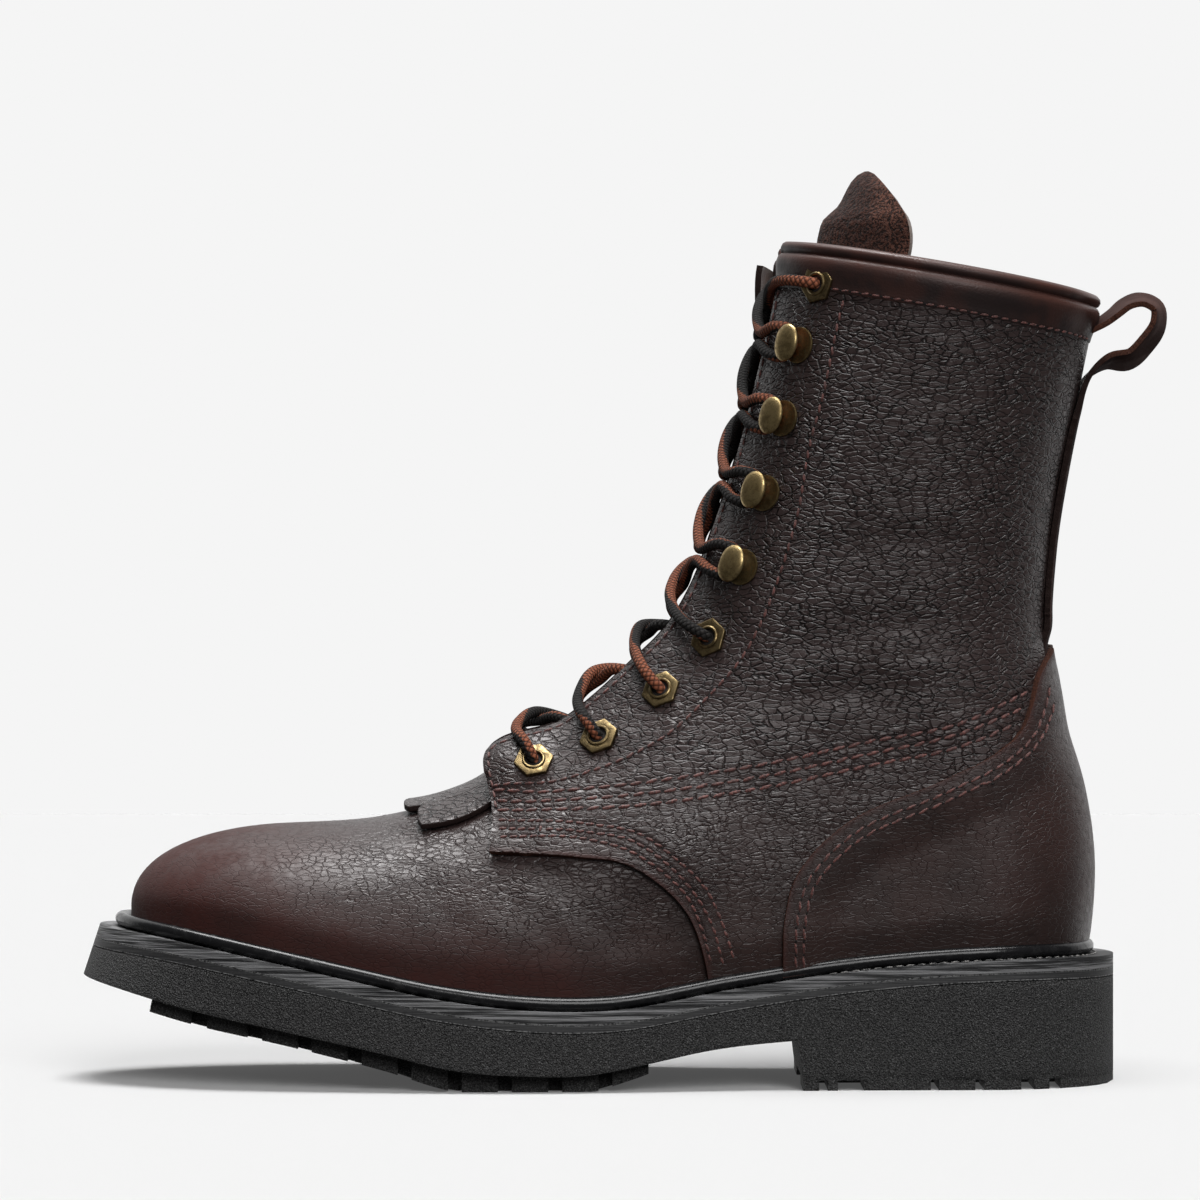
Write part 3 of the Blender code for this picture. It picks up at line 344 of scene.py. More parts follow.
# Backstay strip: glued run up the back seam, then the loop, as points on its middle
STRIP_WIDTH = 21.0
STRIP = 1.7
STRIP_SAG = 1.5
STRIP_START_Z = 124.0
STRIP_TUCK = 2.0
TUCK_RANGE = (130.0, 138.0)
SAG_ENDS = (69.0, 94.0)
FLARE_STARTS = (85.0, 109.0)
FLARE_ENDS = (121.0, 139.0)
STRIP_LEAVE_Z = 202.0
LOOP_FLARE = 2.6
LOOP_CLOSE = 0.6
STRIP_FRAY = 0.14
STRIP_RUB = 0.5
STRIP_ROWS = 170
STRIP_COLUMNS = 15
LOOP = (
    (141.6, 213.6),
    (147.0, 217.4),
    (153.4, 218.0),
    (158.4, 222.6),
    (162.1, 228.6),
    (161.9, 233.6),
    (157.0, 236.0),
    (152.2, 234.6),
    (149.0, 232.0),
    (145.4, 229.4),
    (140.6, 227.0),
)

# Tongue stations along the crest, and its tip above the collar
TONGUE_ROWS = np.array((
    # run from the throat, half width, depth, bow of the edges towards the back
    (-12.0, 16.0, 4.8, 0.0),
    (20.0, 26.0, 4.9, 0.0),
    (70.0, 28.0, 5.2, 2.0),
    (130.0, 29.0, 6.6, 6.0),
    (170.0, 28.0, 10.0, 10.5),
))
TONGUE_TOP = 150.0
TONGUE_COLUMNS = 49
TIP_ROWS = (
    # z, x of its middle, half width, bow of the edges towards the back
    (250.0, 58.2, 26.5, 27.0),
    (256.2, 59.2, 26.0, 26.0),
    (260.5, 60.8, 24.5, 23.2),
    (263.8, 64.6, 21.5, 17.6),
    (268.3, 67.2, 17.0, 12.2),
    (271.6, 69.0, 11.5, 8.2),
    (273.6, 70.8, 6.5, 5.0),
    (274.8, 73.0, 2.0, 1.2),
)

# Kiltie: fringed sheet on the vamp with a row of fingers
KILTIE_BACK = -30.0
KILTIE_HALF = 28.0
KILTIE_FINGERS = 4
KILTIE_SLIT = 0.9
KILTIE_TAPER = 0.12
KILTIE_ROOT = -50.0
KILTIE_TIP = -66.0
KILTIE_SIDE_TIP = -57.0
KILTIE_ROWS = 16
KILTIE_CHAMFER = 2.4
KILTIE_CURL = 1.1
KILTIE_WAVE = 0.25
KILTIE_GRAIN = 0.9

# Lace hardware on each facing, as places on the last in side view
EYELETS = (
    # number, x, z
    (1, -24.3, 92.8),
    (2, -6.2, 102.4),
    (3, 12.2, 116.9),
    (4, 26.7, 133.0),
    (9, 59.4, 238.7),
)
HOOKS = (
    # number, x, z
    (5, 36.9, 154.3),
    (6, 43.7, 176.4),
    (7, 49.3, 198.7),
    (8, 54.1, 220.5),
)
EYELET_RADIUS = 6.1
EYELET_HOLE = 2.7
EYELET_HEIGHT = 1.0
EYELET_RING = 0.55
EYELET_RING_Z = 0.72
EYELET_LIFT = 0.35
EYELET_TILT = 12
TOP_EYELET_TILT = 3
HOOK_LIFT = 0.1
FACING_REACH = 0.7
LACE_RADIUS = 1.7

# Stitch rows in side view, on the outer face of the quarter
LOWER_STITCHES = (
    ((-36.6, 73.7), (-10.9, 73.7), (2.4, 70.2), (10.3, 65.2), (18.0, 57.8), (22.7, 47.7), (25.4, 37.6)),
    ((-36.7, 76.0), (-10.9, 75.7), (2.4, 73.4), (12.7, 66.7), (20.6, 58.1), (26.0, 48.0), (28.7, 38.2)),
    ((-36.7, 78.3), (-10.9, 78.0), (5.0, 75.2), (15.3, 68.1), (23.3, 60.4), (28.6, 49.7), (32.5, 38.1)),
)
LONG_STITCHES = (
    ((-37.0, 84.8), (4.8, 90.0), (40.3, 95.9), (72.9, 103.0), (99.6, 108.3), (118.0, 116.6)),
    ((-37.0, 82.8), (4.8, 86.8), (40.2, 92.4), (72.9, 99.4), (99.6, 105.3), (117.0, 112.0)),
    ((-37.0, 80.8), (4.8, 83.6), (40.2, 89.1), (72.8, 95.9), (99.6, 101.5), (114.6, 107.2)),
)
EYESTAY_STITCHES = (
    (-37.0, 85.3), (-16.3, 90.4), (1.3, 97.2), (14.9, 105.2), (25.9, 115.6), (35.7, 127.2), (41.6, 137.9),
    (46.4, 150.0), (52.0, 168.1), (56.7, 192.5), (59.4, 202.2), (62.0, 214.0), (64.3, 225.6), (66.6, 235.0),
)

WELT_SEAM_X = 60.0

# Pebbles of the leather: how long they are along each axis, and how far they wander, in metres
PEBBLE_STRETCH = (0.42, 0.5, 1.0)
PEBBLE_DRIFT = 0.0018

# Camera and light, in metres
CAMERA_PLACE = (-0.00705, -1.7, 0.145)
CAMERA_LENS = 168.3
FLOOR_TONE = (0.741, 0.741, 0.741)
FLOOR_GLOW = 0.07
BACKDROP_GLOW = 0.913
WORLD_GLOW = 0.10
LAMPS = (
    # name, direction it comes from, spread, power
    ("overhead", (0.1, -0.1, 1.0), 30.0, 2.6),
    ("front", (0.25, -1.0, 0.55), 30.0, 1.45),
    ("sheen", (-0.2, 0.2, 1.0), 30.0, 3.2),
)

# Sampling of the lines and nets
FINE = 121
PROBE = 0.02
HALVINGS = 30
THROAT_DEPTH = 20.0
SECTION_DEPTH = 40.0


def smooth(at, table, column):
    """Cubic curve through one column of a table whose first column is the station."""
    stations = table[:, 0]
    values = table[:, column]
    slopes = np.gradient(values, stations)
    i = np.clip(np.searchsorted(stations, at) - 1, 0, len(stations) - 2)
    step = stations[i + 1] - stations[i]
    t = np.clip((at - stations[i]) / step, 0.0, 1.0)
    rise = t * t * (3 - 2 * t)
    bend = slopes[i] * t * (1 - t) ** 2 - slopes[i + 1] * t * t * (1 - t)
    return values[i] * (1 - rise) + values[i + 1] * rise + step * bend


def ramp(value, low, high):
    """Smooth step from 0 at low to 1 at high."""
    t = np.clip((value - low) / (high - low), 0.0, 1.0)
    return t * t * (3 - 2 * t)


def run_length(points):
    """Length along a row of points, from its start to each point."""
    steps = np.linalg.norm(np.diff(points, axis=0), axis=1)
    return np.concatenate([[0.0], np.cumsum(steps)])


def at_run(at, run, points):
    """Points at some runs along a row of points."""
    return np.column_stack([np.interp(at, run, column) for column in points.T])


def unit(vectors):
    """Directions of length one."""
    return vectors / np.linalg.norm(vectors, axis=-1, keepdims=True)


def right_of(path):
    """Directions to the right of a side-view path."""
    along = unit(np.gradient(path, axis=0))
    return np.column_stack([along[:, 1], -along[:, 0]])


def depth_where(holds, shape, most):
    """Least depth at which a test holds, found by halving."""
    low = np.zeros(shape)
    high = np.full(shape, most)
    for _ in range(HALVINGS):
        middle = (low + high) / 2
        found = holds(middle)
        high = np.where(found, middle, high)
        low = np.where(found, low, middle)
    return high


def drawn(rows, count=FINE, places=2):
    """Even points on a smooth curve through rows whose first columns are the place."""
    rows = np.array(rows, float)
    table = np.column_stack([run_length(rows[:, :places]), rows])
    at = np.linspace(0.0, table[-1, 0], count)
    return np.column_stack([smooth(at, table, k) for k in range(1, table.shape[1])])


FRONT = drawn(FRONT_ROWS, 162)
BACK = drawn(BACK_ROWS, 81)
CREST = FRONT[:, :2]
CREST_RUN = run_length(CREST) - np.interp(THROAT_X, CREST[:, 0], run_length(CREST))


def nearest(x, z, line, inner_hand):
    """Depth of side-view points inside a profile line, and the rounding depth at that place."""
    point = np.stack([x, z], -1)
    spots = line[:, :2]
    k = ((spots ** 2).sum(1) - 2 * point @ spots.T).argmin(-1)
    found = []
    for first in (np.maximum(k - 1, 0), np.minimum(k, len(line) - 2)):
        run = spots[first + 1] - spots[first]
        offset = point - spots[first]
        t = np.clip((offset * run).sum(-1) / (run ** 2).sum(-1), 0.0, 1.0)
        turn = run[..., 0] * offset[..., 1] - run[..., 1] * offset[..., 0]
        away = np.linalg.norm(offset - t[..., None] * run, axis=-1)
        rounding = line[first, 2] * (1 - t) + line[first + 1, 2] * t
        found.append((away, away * np.sign(turn) * inner_hand, rounding))
    closer = found[0][0] < found[1][0]
    return np.where(closer, found[0][1], found[1][1]), np.where(closer, found[0][2], found[1][2])


def away_from(x, z, line):
    """Distance of side-view points from a line of points."""
    point = np.stack([x, z], -1)[..., None, :]
    start = line[:-1, :2]
    run = line[1:, :2] - start
    t = np.clip(((point - start) * run).sum(-1) / (run ** 2).sum(-1), 0.0, 1.0)
    return np.linalg.norm(point - start - t[..., None] * run, axis=-1).min(-1)


def seat(x):
    """Height of the midsole's top."""
    return smooth(x, SEAT, 1)


def feather(x):
    """Height of the upper's lower edge, just above the midsole."""
    return seat(x) + GAP


def rim(x):
    """Height of the upper's top edge."""
    return RIM_FRONT_Z - RIM_FALL * (x - RIM_FRONT_X)


def last(x, z):
    """Middle, half width and closing term of the last at side-view points."""
    front, front_depth = nearest(x, z, FRONT, -1)
    back, back_depth = nearest(x, z, BACK, 1)
    closing = np.clip(1 - front / front_depth, 0, None) ** ROUND
    closing = closing + np.clip(1 - back / back_depth, 0, None) ** ROUND
    closing = closing + np.clip(1 - (x - TOE_X) / TOE_LENGTH, 0, None) ** ROUND
    lateral = smooth(x, FOOT, 1)
    medial = smooth(x, FOOT, 2)
    ankle = ramp(z, ANKLE_LOW, ANKLE_HIGH)
    bulge = BULGE * ramp(z - feather(x), 0, BULGE_HEIGHT)
    middle = (1 - ankle) * (lateral + medial) / 2
    half = (1 - ankle) * ((medial - lateral) / 2 + bulge) + ankle * smooth(z, SHAFT, 1)
    return middle, half, closing


def width(x, z):
    """Half width of the last's skin at side-view points, and its middle."""
    middle, half, closing = last(x, z)
    return half * np.clip(1 - closing, 0, None) ** (1 / ARCH), middle


def skin(net, side, closed=None, least=0.0):
    """Points of the last's skin on one side, from side-view points; closed ones lie in the middle."""
    x, z = net[..., 0], net[..., 1]
    half, middle = width(x, z)
    half = np.maximum(half, least)
    if closed is not None:
        half = np.where(closed, 0.0, half)
    return np.stack([x, middle + side * half, z], -1)


def level(points):
    """Value that is 1 on the last's skin and larger outside."""
    middle, half, closing = last(points[..., 0], points[..., 2])
    return (np.abs(points[..., 1] - middle) / half) ** ARCH + closing


def outward(points):
    """Unit direction that leaves the last's skin."""
    slope = [level(points + PROBE * axis) - level(points - PROBE * axis) for axis in np.eye(3)]
    return unit(np.stack(slope, -1))


def raised(points, height):
    """Points moved off the last's skin by a height, which may differ from point to point."""
    height = np.broadcast_to(height, points.shape[:-1])
    return points + outward(points) * height[..., None]


def spread(path, count):
    """Side-view points of a path, evenly spaced as measured on the skin."""
    run = run_length(skin(path, MEDIAL))
    return at_run(np.linspace(0.0, run[-1], count + 1), run, path)


def straight(start, end, count=FINE):
    """Side-view points on a straight line."""
    return np.linspace(np.array(start, float), np.array(end, float), count)


def joined(*paths):
    """Paths end to end, with the shared points kept once."""
    return np.concatenate([paths[0]] + [path[1:] for path in paths[1:]])


def patch(bottom, top, left, right, rows):
    """Side-view net between four edges, its columns evenly spaced as measured on the skin."""
    u = np.linspace(0, 1, len(bottom))[:, None, None]
    v = np.linspace(0, 1, FINE)[None, :, None]

    def fine(edge):
        return at_run(v.ravel(), np.linspace(0, 1, len(edge)), edge)

    net = (1 - v) * bottom[:, None] + v * top[:, None]
    net = net + (1 - u) * fine(left)[None] + u * fine(right)[None]
    net = net - (1 - u) * ((1 - v) * bottom[0] + v * top[0])
    net = net - u * ((1 - v) * bottom[-1] + v * top[-1])
    return np.stack([spread(column, rows) for column in net])


def cut_where(path, value):
    """Part of a path before a value that rises along it passes zero, ended there."""
    k = int(np.argmax(value > 0))
    t = value[k - 1] / (value[k - 1] - value[k])
    return np.concatenate([path[:k], [path[k - 1] * (1 - t) + path[k] * t]])


def throat_path(start_x, gap_of_run, more=0.0):
    """Edge of the throat from start_x to above the rim, at a half gap that varies along the crest."""
    crest = drawn(CREST[CREST[:, 0] > start_x], 2 * FINE)
    gap = gap_of_run(run_length(crest)) + more
    inwards = right_of(crest)

    def wide(depth):
        return width(*(crest + inwards * depth[:, None]).T)[0] > gap

    return crest + inwards * depth_where(wide, len(crest), THROAT_DEPTH)[:, None]


def back_path(low, high):
    """Back line of the last between two heights."""
    line = drawn(BACK_ROWS, 4 * FINE)[:, :2]
    heights = np.linspace(low, high, FINE)
    return np.column_stack([np.interp(heights, line[:, 1], line[:, 0]), heights])


def rim_end(drop):
    """Point where the back line meets the rim, or a line a little below it."""
    line = back_path(200.0, 258.0)
    return cut_where(line, line[:, 1] - rim(line[:, 0]) + drop)[-1]


def below_rim(path, drop):
    """Part of a path below the rim, or below a line under it."""
    return cut_where(path, path[:, 1] - rim(path[:, 0]) + drop)


def toe_path():
    """Front of the toe from the welt up to where the ridge starts."""
    angle = np.radians(np.linspace(0, TOE_TURN, FINE))
    x = TOE_X + TOE_LENGTH * (1 - np.cos(angle) ** (2 / ROUND))
    crest = np.interp(x, FRONT[:, 0], FRONT[:, 1])
    depth = np.interp(x, FRONT[:, 0], FRONT[:, 2])
    z = crest - depth * (1 - np.sin(angle) ** (2 / ROUND))
    foot = (TOE_X, float(feather(np.array(TOE_X))))
    return joined(straight(foot, (x[0], z[0]), 9), np.column_stack([x, z]))


def ridge_path():
    """Ridge of the vamp from the toe to the start of the throat."""
    angle = np.radians(np.linspace(TOE_TURN, 90, FINE))
    x = TOE_X + TOE_LENGTH * (1 - np.maximum(np.cos(angle), 0) ** (2 / ROUND))
    x = np.concatenate([x, np.linspace(x[-1], THROAT_X, FINE)[1:]])
    toe = np.clip(1 - (x - TOE_X) / TOE_LENGTH, 0, None) ** ROUND
    crest = np.interp(x, FRONT[:, 0], FRONT[:, 1])
    depth = np.interp(x, FRONT[:, 0], FRONT[:, 2])
    return np.column_stack([x, crest - depth * (1 - (1 - toe) ** (1 / ROUND))])


def feather_path(start, end):
    """Lower edge of the upper between two stations, closely spaced where the plan turns."""
    middle = (start + end) / 2
    x = middle - (end - start) / 2 * np.cos(np.linspace(0, math.pi, 2 * FINE))
    return np.column_stack([x, feather(x)])


def heel_point():
    """Foot of the back line."""
    line = back_path(30.0, 60.0)
    return cut_where(line, line[:, 1] - feather(line[:, 0]))[-1]


def throat_gap(run):
    """Half gap of the upper's throat, which opens from a point."""
    return THROAT_GAP * np.sqrt(np.clip(run / THROAT_RUN, 0, 1))


def upper_nets():
    """Side-view nets of the upper: foot below the ankle line, shaft above it."""
    ridge = ridge_path()
    throat = joined(ridge[-1:], below_rim(throat_path(THROAT_X, throat_gap), 0))
    split = int(np.argmax(throat[:, 1] > INSTEP_Z))
    heel = heel_point()
    ankle = back_path(ANKLE_Z, ANKLE_Z + 1)[0]
    ankle_line = spread(straight(throat[split], ankle), ANKLE_COLUMNS)
    bottom = joined(
        spread(feather_path(TOE_X, FOOT_SPLIT[0]), RIDGE_COLUMNS),
        spread(feather_path(*FOOT_SPLIT), THROAT_COLUMNS),
        spread(feather_path(FOOT_SPLIT[1], heel[0]), ANKLE_COLUMNS),
    )
    top = joined(spread(ridge, RIDGE_COLUMNS), spread(throat[:split + 1], THROAT_COLUMNS), ankle_line)
    foot = patch(bottom, top, toe_path(), back_path(heel[1], ANKLE_Z), FOOT_ROWS)
    rim_line = spread(straight(throat[-1], rim_end(0)), ANKLE_COLUMNS)
    shaft = patch(ankle_line, rim_line, throat[split:], back_path(ANKLE_Z, rim_end(0)[1]), SHAFT_ROWS)
    return foot, shaft


def facing_lift(x, z):
    """How far the facing stands off the last along its edge, most at its front end over the kiltie."""
    depth = nearest(x, z, FRONT, -1)[0]
    front = FRONT_LIFT * (1 - ramp(x, *FRONT_LIFT_RANGE)) * ramp(z, *FRONT_LIFT_LOW)
    along = EDGE_LIFT * (1 - ramp(x, *EDGE_LIFT_RANGE))
    return (front + along) * (1 - ramp(depth, *LIFT_DEPTH))


def facing_gap(run):
    """Half gap of the facings, wider where their front ends are rounded."""
    return FACING_GAP + FACING_ROUND * (1 - np.clip(run / FACING_ROUND, 0, 1)) ** 2


def counter_points(shift):
    """Counter edge from the welt to the back seam, moved towards the heel by a shift."""
    edge = drawn(COUNTER_EDGE)[::-1]
    edge = edge - right_of(edge) * shift
    edge[:, 0] = np.minimum(edge[:, 0], np.interp(edge[:, 1], BACK[:, 1], BACK[:, 0]))
    edge = cut_where(edge, seat(edge[:, 0]) + OVERLAY_FOOT - edge[:, 1])
    return spread(edge[::-1], QUARTER_COLUMNS[2])


def quarter_nets():
    """Side-view nets of a quarter, below and above the ankle line; it runs on under the counter."""
    throat = below_rim(throat_path(FACING_X, facing_gap), BAND_HEIGHT - 1.0)
    split = int(np.argmax(throat[:, 1] > INSTEP_Z))
    ankle = back_path(ANKLE_Z, ANKLE_Z + 1)[0]
    ankle_line = spread(straight(throat[split], ankle), QUARTER_ANKLE)
    edge = counter_points(QUARTER_UNDER)
    lower = drawn(QUARTER_LOWER)
    lower = cut_where(lower, seat(lower[:, 0]) + OVERLAY_FOOT - lower[:, 1])
    foot_edge = feather_path(lower[-1, 0], edge[0, 0])
    foot_edge[:, 1] = seat(foot_edge[:, 0]) + OVERLAY_FOOT
    bottom = joined(spread(lower, QUARTER_COLUMNS[0]), spread(foot_edge, QUARTER_COLUMNS[1]), edge)
    top = joined(spread(throat[:split + 1], len(bottom) - len(ankle_line)), ankle_line)
    front = drawn(QUARTER_FRONT + (tuple(throat[0]),))
    back = straight(edge[-1], ankle, 9)
    low = patch(bottom, top, front, back, QUARTER_ROWS[0])
    end = rim_end(BAND_HEIGHT - 1.0)
    band_line = spread(straight(throat[-1], end), QUARTER_ANKLE)
    high = patch(ankle_line, band_line, throat[split:], back_path(ANKLE_Z, end[1]), QUARTER_ROWS[1])
    return low, high


def crest_section(run, y):
    """Points of the last's skin across the crest at a run from the throat, at offsets y."""
    place, ahead = at_run((run, run + 1), CREST_RUN, CREST)
    along = unit(ahead - place)
    inwards = np.array((along[1], -along[0]))

    def wide(depth):
        return width(*(place + inwards * depth[:, None]).T)[0] > np.abs(y)

    x, z = (place + inwards * depth_where(wide, len(y), SECTION_DEPTH)[:, None]).T
    return np.column_stack([x, width(x, z)[1] + y, z])


def vamp_points(x, y):
    """Points of the last's skin on top of the vamp, at stations x and offsets y from its middle."""
    crest = np.interp(x, CREST[:, 0], CREST[:, 1])

    def wide(depth):
        return width(x, crest - depth)[0] > np.abs(y)

    z = crest - depth_where(wide, x.shape, SECTION_DEPTH)
    return np.stack([x, width(x, z)[1] + y, z], -1)


def crest_index(x, z):
    """Number of the crest point next to a side-view place."""
    return int(np.argmin(np.hypot(CREST[:, 0] - x, CREST[:, 1] - z)))


def facing_frame(x, z, side):
    """Place on the quarter's outer face with its outward, upward and forward directions."""
    steps = np.array(((0, 0), (1, 0), (-1, 0), (0, 1), (0, -1)))
    net = np.array((x, z)) + EYELET_RADIUS * FACING_REACH * steps
    lift = facing_lift(net[:, 0], net[:, 1])
    place = raised(skin(net, side), lift + QUARTER_FACE)
    out = unit(np.cross(place[1] - place[2], place[3] - place[4]) * -side)
    k = crest_index(x, z)
    along = CREST[k + 1] - CREST[k - 1]
    up = np.array((along[0], 0.0, along[1]))
    up = unit(up - out * np.dot(up, out))
    return place[0], out, up, np.cross(up, out) * side


# Modelling helpers

def pick(*pieces):
    """Only these objects selected, the first one active."""
    bpy.ops.object.select_all(action="DESELECT")
    for piece in pieces:
        piece.select_set(True)
    if pieces:
        bpy.context.view_layer.objects.active = pieces[0]


def started(primitive, **settings):
    """New mesh primitive."""
    pick()
    primitive(**settings)
    return bpy.context.object


def edited(*steps):
    """Steps of mesh editing on the whole of the active piece, each with its settings."""
    bpy.ops.object.mode_set(mode="EDIT")
    bpy.ops.mesh.select_all(action="SELECT")
    for step, settings in steps:
        step(**settings)
    bpy.ops.object.mode_set(mode="OBJECT")


def moved(value):
    """Editing step that moves a piece."""
    return bpy.ops.transform.translate, {"value": value}


def sized(value):
    """Editing step that scales a piece."""
    return bpy.ops.transform.resize, {"value": value}


def turned(degrees, axis):
    """Editing step that turns a piece about an axis through the origin."""
    value = {"value": math.radians(degrees), "orient_axis": axis, "center_override": (0, 0, 0)}
    return bpy.ops.transform.rotate, value


def points_of(mesh):
    """Points of a mesh, one in each row."""
    flat = np.empty(len(mesh.vertices) * 3)
    mesh.vertices.foreach_get("co", flat)
    return flat.reshape(-1, 3)


def laid(points, flip=False, **marks):
    """A grid primitive laid onto a net of points, with values kept at its points for the finishes."""
    if flip:
        points = points[:, ::-1]
        marks = {word: mark[:, ::-1] for word, mark in marks.items()}
    n, m = points.shape[:2]
    piece = started(bpy.ops.mesh.primitive_grid_add, x_subdivisions=n - 1, y_subdivisions=m - 1, size=2)
    mesh = piece.data
    share = (points_of(mesh)[:, :2] + 1) / 2
    i, j = np.rint(share * (n - 1, m - 1)).astype(int).T
    mesh.vertices.foreach_set("co", (points[i, j] * MM).ravel())
    for word, mark in marks.items():
        kept = mesh.attributes.new(word, "FLOAT", "POINT")
        kept.data.foreach_set("value", np.broadcast_to(mark, (n, m))[i, j].astype(np.float32))
    mesh.update()
    return piece


def sewn(name, pieces):
    """Pieces joined into one, with their shared edges merged."""
    pick(*pieces)
    if len(pieces) > 1:
        bpy.ops.object.join()
    piece = bpy.context.object
    piece.name = name
    piece.data.name = name
    merge = (bpy.ops.mesh.remove_doubles, {"threshold": 0.02 * MM})
    edited(merge, (bpy.ops.mesh.dissolve_degenerate, {"threshold": 0.001 * MM}))
    return piece


def outside_out(piece):
    """Closed piece with its faces turned outwards."""
    pick(piece)
    edited((bpy.ops.mesh.normals_make_consistent, {"inside": False}))


def applied(piece, kind, **settings):
    """One modifier added to a piece and applied."""
    pick(piece)
    step = piece.modifiers.new(kind.lower(), kind)
    for word, value in settings.items():
        setattr(step, word, value)
    bpy.ops.object.modifier_apply(modifier=step.name)


def softened(piece, width, sharp, **settings):
    """Edges of a piece that turn by more than an angle, rounded off."""
    applied(piece, "BEVEL", width=width, limit_method="ANGLE", angle_limit=math.radians(sharp), **settings)


def walled(piece, sheet, edge):
    """Sheet given its thickness behind its face, with soft edges; back and rim take slots 1 and 2."""
    for _ in range(3):
        piece.data.materials.append(None)
    slots = {"material_offset": 1, "material_offset_rim": 2}
    applied(piece, "SOLIDIFY", thickness=sheet * MM, offset=-1.0, **slots)
    softened(piece, edge * MM, 55, segments=2, material=2)


def dressed(piece, slot, nodes, *finishes, crisp=50):
    """Piece smoothed, given its finishes, and set to ride and stand for its CAD nodes."""
    for k, look in enumerate(finishes):
        if k < len(piece.data.materials):
            piece.data.materials[k] = look
        else:
            piece.data.materials.append(look)
    pick(piece)
    bpy.ops.object.shade_smooth_by_angle(angle=math.radians(crisp))
    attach(piece, "root")
    if nodes:
        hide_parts(*nodes)
    return piece


def copies(name, master, places):
    """Joined copies of a small master mesh, each set by a place and three axes in millimetres."""
    local = points_of(master.data)
    faces = [tuple(face.vertices) for face in master.data.polygons]
    points = []
    all_faces = []
    for k, (place, *axes) in enumerate(places):
        points.append((np.array(place) + local @ np.array(axes)) * MM)
        all_faces += [tuple(v + k * len(local) for v in face) for face in faces]
    joint = bpy.data.meshes.new(name)
    joint.from_pydata(np.concatenate(points).tolist(), [], all_faces)
    return shown(bpy.data.objects.new(name, joint))


def shown(piece):
    """Object put into the scene."""
    bpy.context.collection.objects.link(piece)
    return piece


def removed(piece):
    """Master mesh taken out once its copies are made."""
    bpy.data.objects.remove(piece, do_unlink=True)


# Finishes

def finish(name, colour, roughness, metallic=0.0, coat=0.0, sheen=0.0, gloss=0.5):
    """Material with its own node tree, and the shader in it."""
    material = bpy.data.materials.new(name)
    material.use_nodes = True
    shader = material.node_tree.nodes["Principled BSDF"]
    shader.inputs["Base Color"].default_value = (*colour, 1.0)
    shader.inputs["Roughness"].default_value = roughness
    shader.inputs["Metallic"].default_value = metallic
    shader.inputs["Coat Weight"].default_value = coat
    shader.inputs["Coat Roughness"].default_value = 0.25
    shader.inputs["Sheen Weight"].default_value = sheen
    shader.inputs["Specular IOR Level"].default_value = gloss
    return material, material.node_tree, shader


def node(tree, kind, inputs=None, **settings):
    """Node with its settings, and sockets set or linked by name or number."""
    made = tree.nodes.new(kind)
    for word, value in settings.items():
        setattr(made, word, value)
    for word, value in (inputs or {}).items():
        if isinstance(value, bpy.types.NodeSocket):
            tree.links.new(value, made.inputs[word])
        else:
            made.inputs[word].default_value = value
    return made


def sums(tree, operation, a, b=0.0, c=0.0):
    """Result of a sum on two values."""
    return node(tree, "ShaderNodeMath", {0: a, 1: b, 2: c}, operation=operation).outputs[0]


def ranged(tree, value, low, high, start=0.0, end=1.0):
    """Value carried from one range smoothly to another."""
    inputs = {"Value": value, "From Min": low, "From Max": high, "To Min": start, "To Max": end}
    return node(tree, "ShaderNodeMapRange", inputs, interpolation_type="SMOOTHSTEP").outputs[0]


def mixed(tree, share, a, b):
    """Colour between two colours."""
    a = a if isinstance(a, bpy.types.NodeSocket) else (*a, 1.0)
    b = b if isinstance(b, bpy.types.NodeSocket) else (*b, 1.0)
    return node(tree, "ShaderNodeMix", {0: share, 6: a, 7: b}, data_type="RGBA").outputs[2]


def stretched(tree, scale=(1, 1, 1), turn=(0.0, 0.0, 0.0)):
    """Object coordinates scaled along each axis."""
    coords = node(tree, "ShaderNodeTexCoord").outputs["Object"]
    inputs = {"Vector": coords, "Scale": scale, "Rotation": turn}
    return node(tree, "ShaderNodeMapping", inputs).outputs[0]


def speckle(tree, vector, scale, detail=2.0, roughness=0.5):
    """Noise value."""
    inputs = {"Vector": vector, "Scale": scale, "Detail": detail, "Roughness": roughness}
    return node(tree, "ShaderNodeTexNoise", inputs).outputs[0]


def cells(tree, vector, scale, feature):
    """Distance in a pattern of cells."""
    inputs = {"Vector": vector, "Scale": scale}
    return node(tree, "ShaderNodeTexVoronoi", inputs, feature=feature).outputs["Distance"]


def bumped(tree, shader, height, depth, strength=1.0):
    """Surface relief of a given depth in millimetres."""
    inputs = {"Height": height, "Distance": depth * MM, "Strength": strength}
    tree.links.new(node(tree, "ShaderNodeBump", inputs).outputs[0], shader.inputs["Normal"])


def coloured(tree, shader, tone):
    """Base colour from a value in the tree."""
    tree.links.new(tone, shader.inputs["Base Color"])


def roughened(tree, shader, value):
    """Roughness from a value in the tree."""
    tree.links.new(value, shader.inputs["Roughness"])


def mark(tree, word):
    """Value kept at the piece's points."""
    return node(tree, "ShaderNodeAttribute", attribute_name=word).outputs["Fac"]


def shifted(tree, operation, inputs):
    """Result of a sum on vectors."""
    return node(tree, "ShaderNodeVectorMath", inputs, operation=operation).outputs[0]


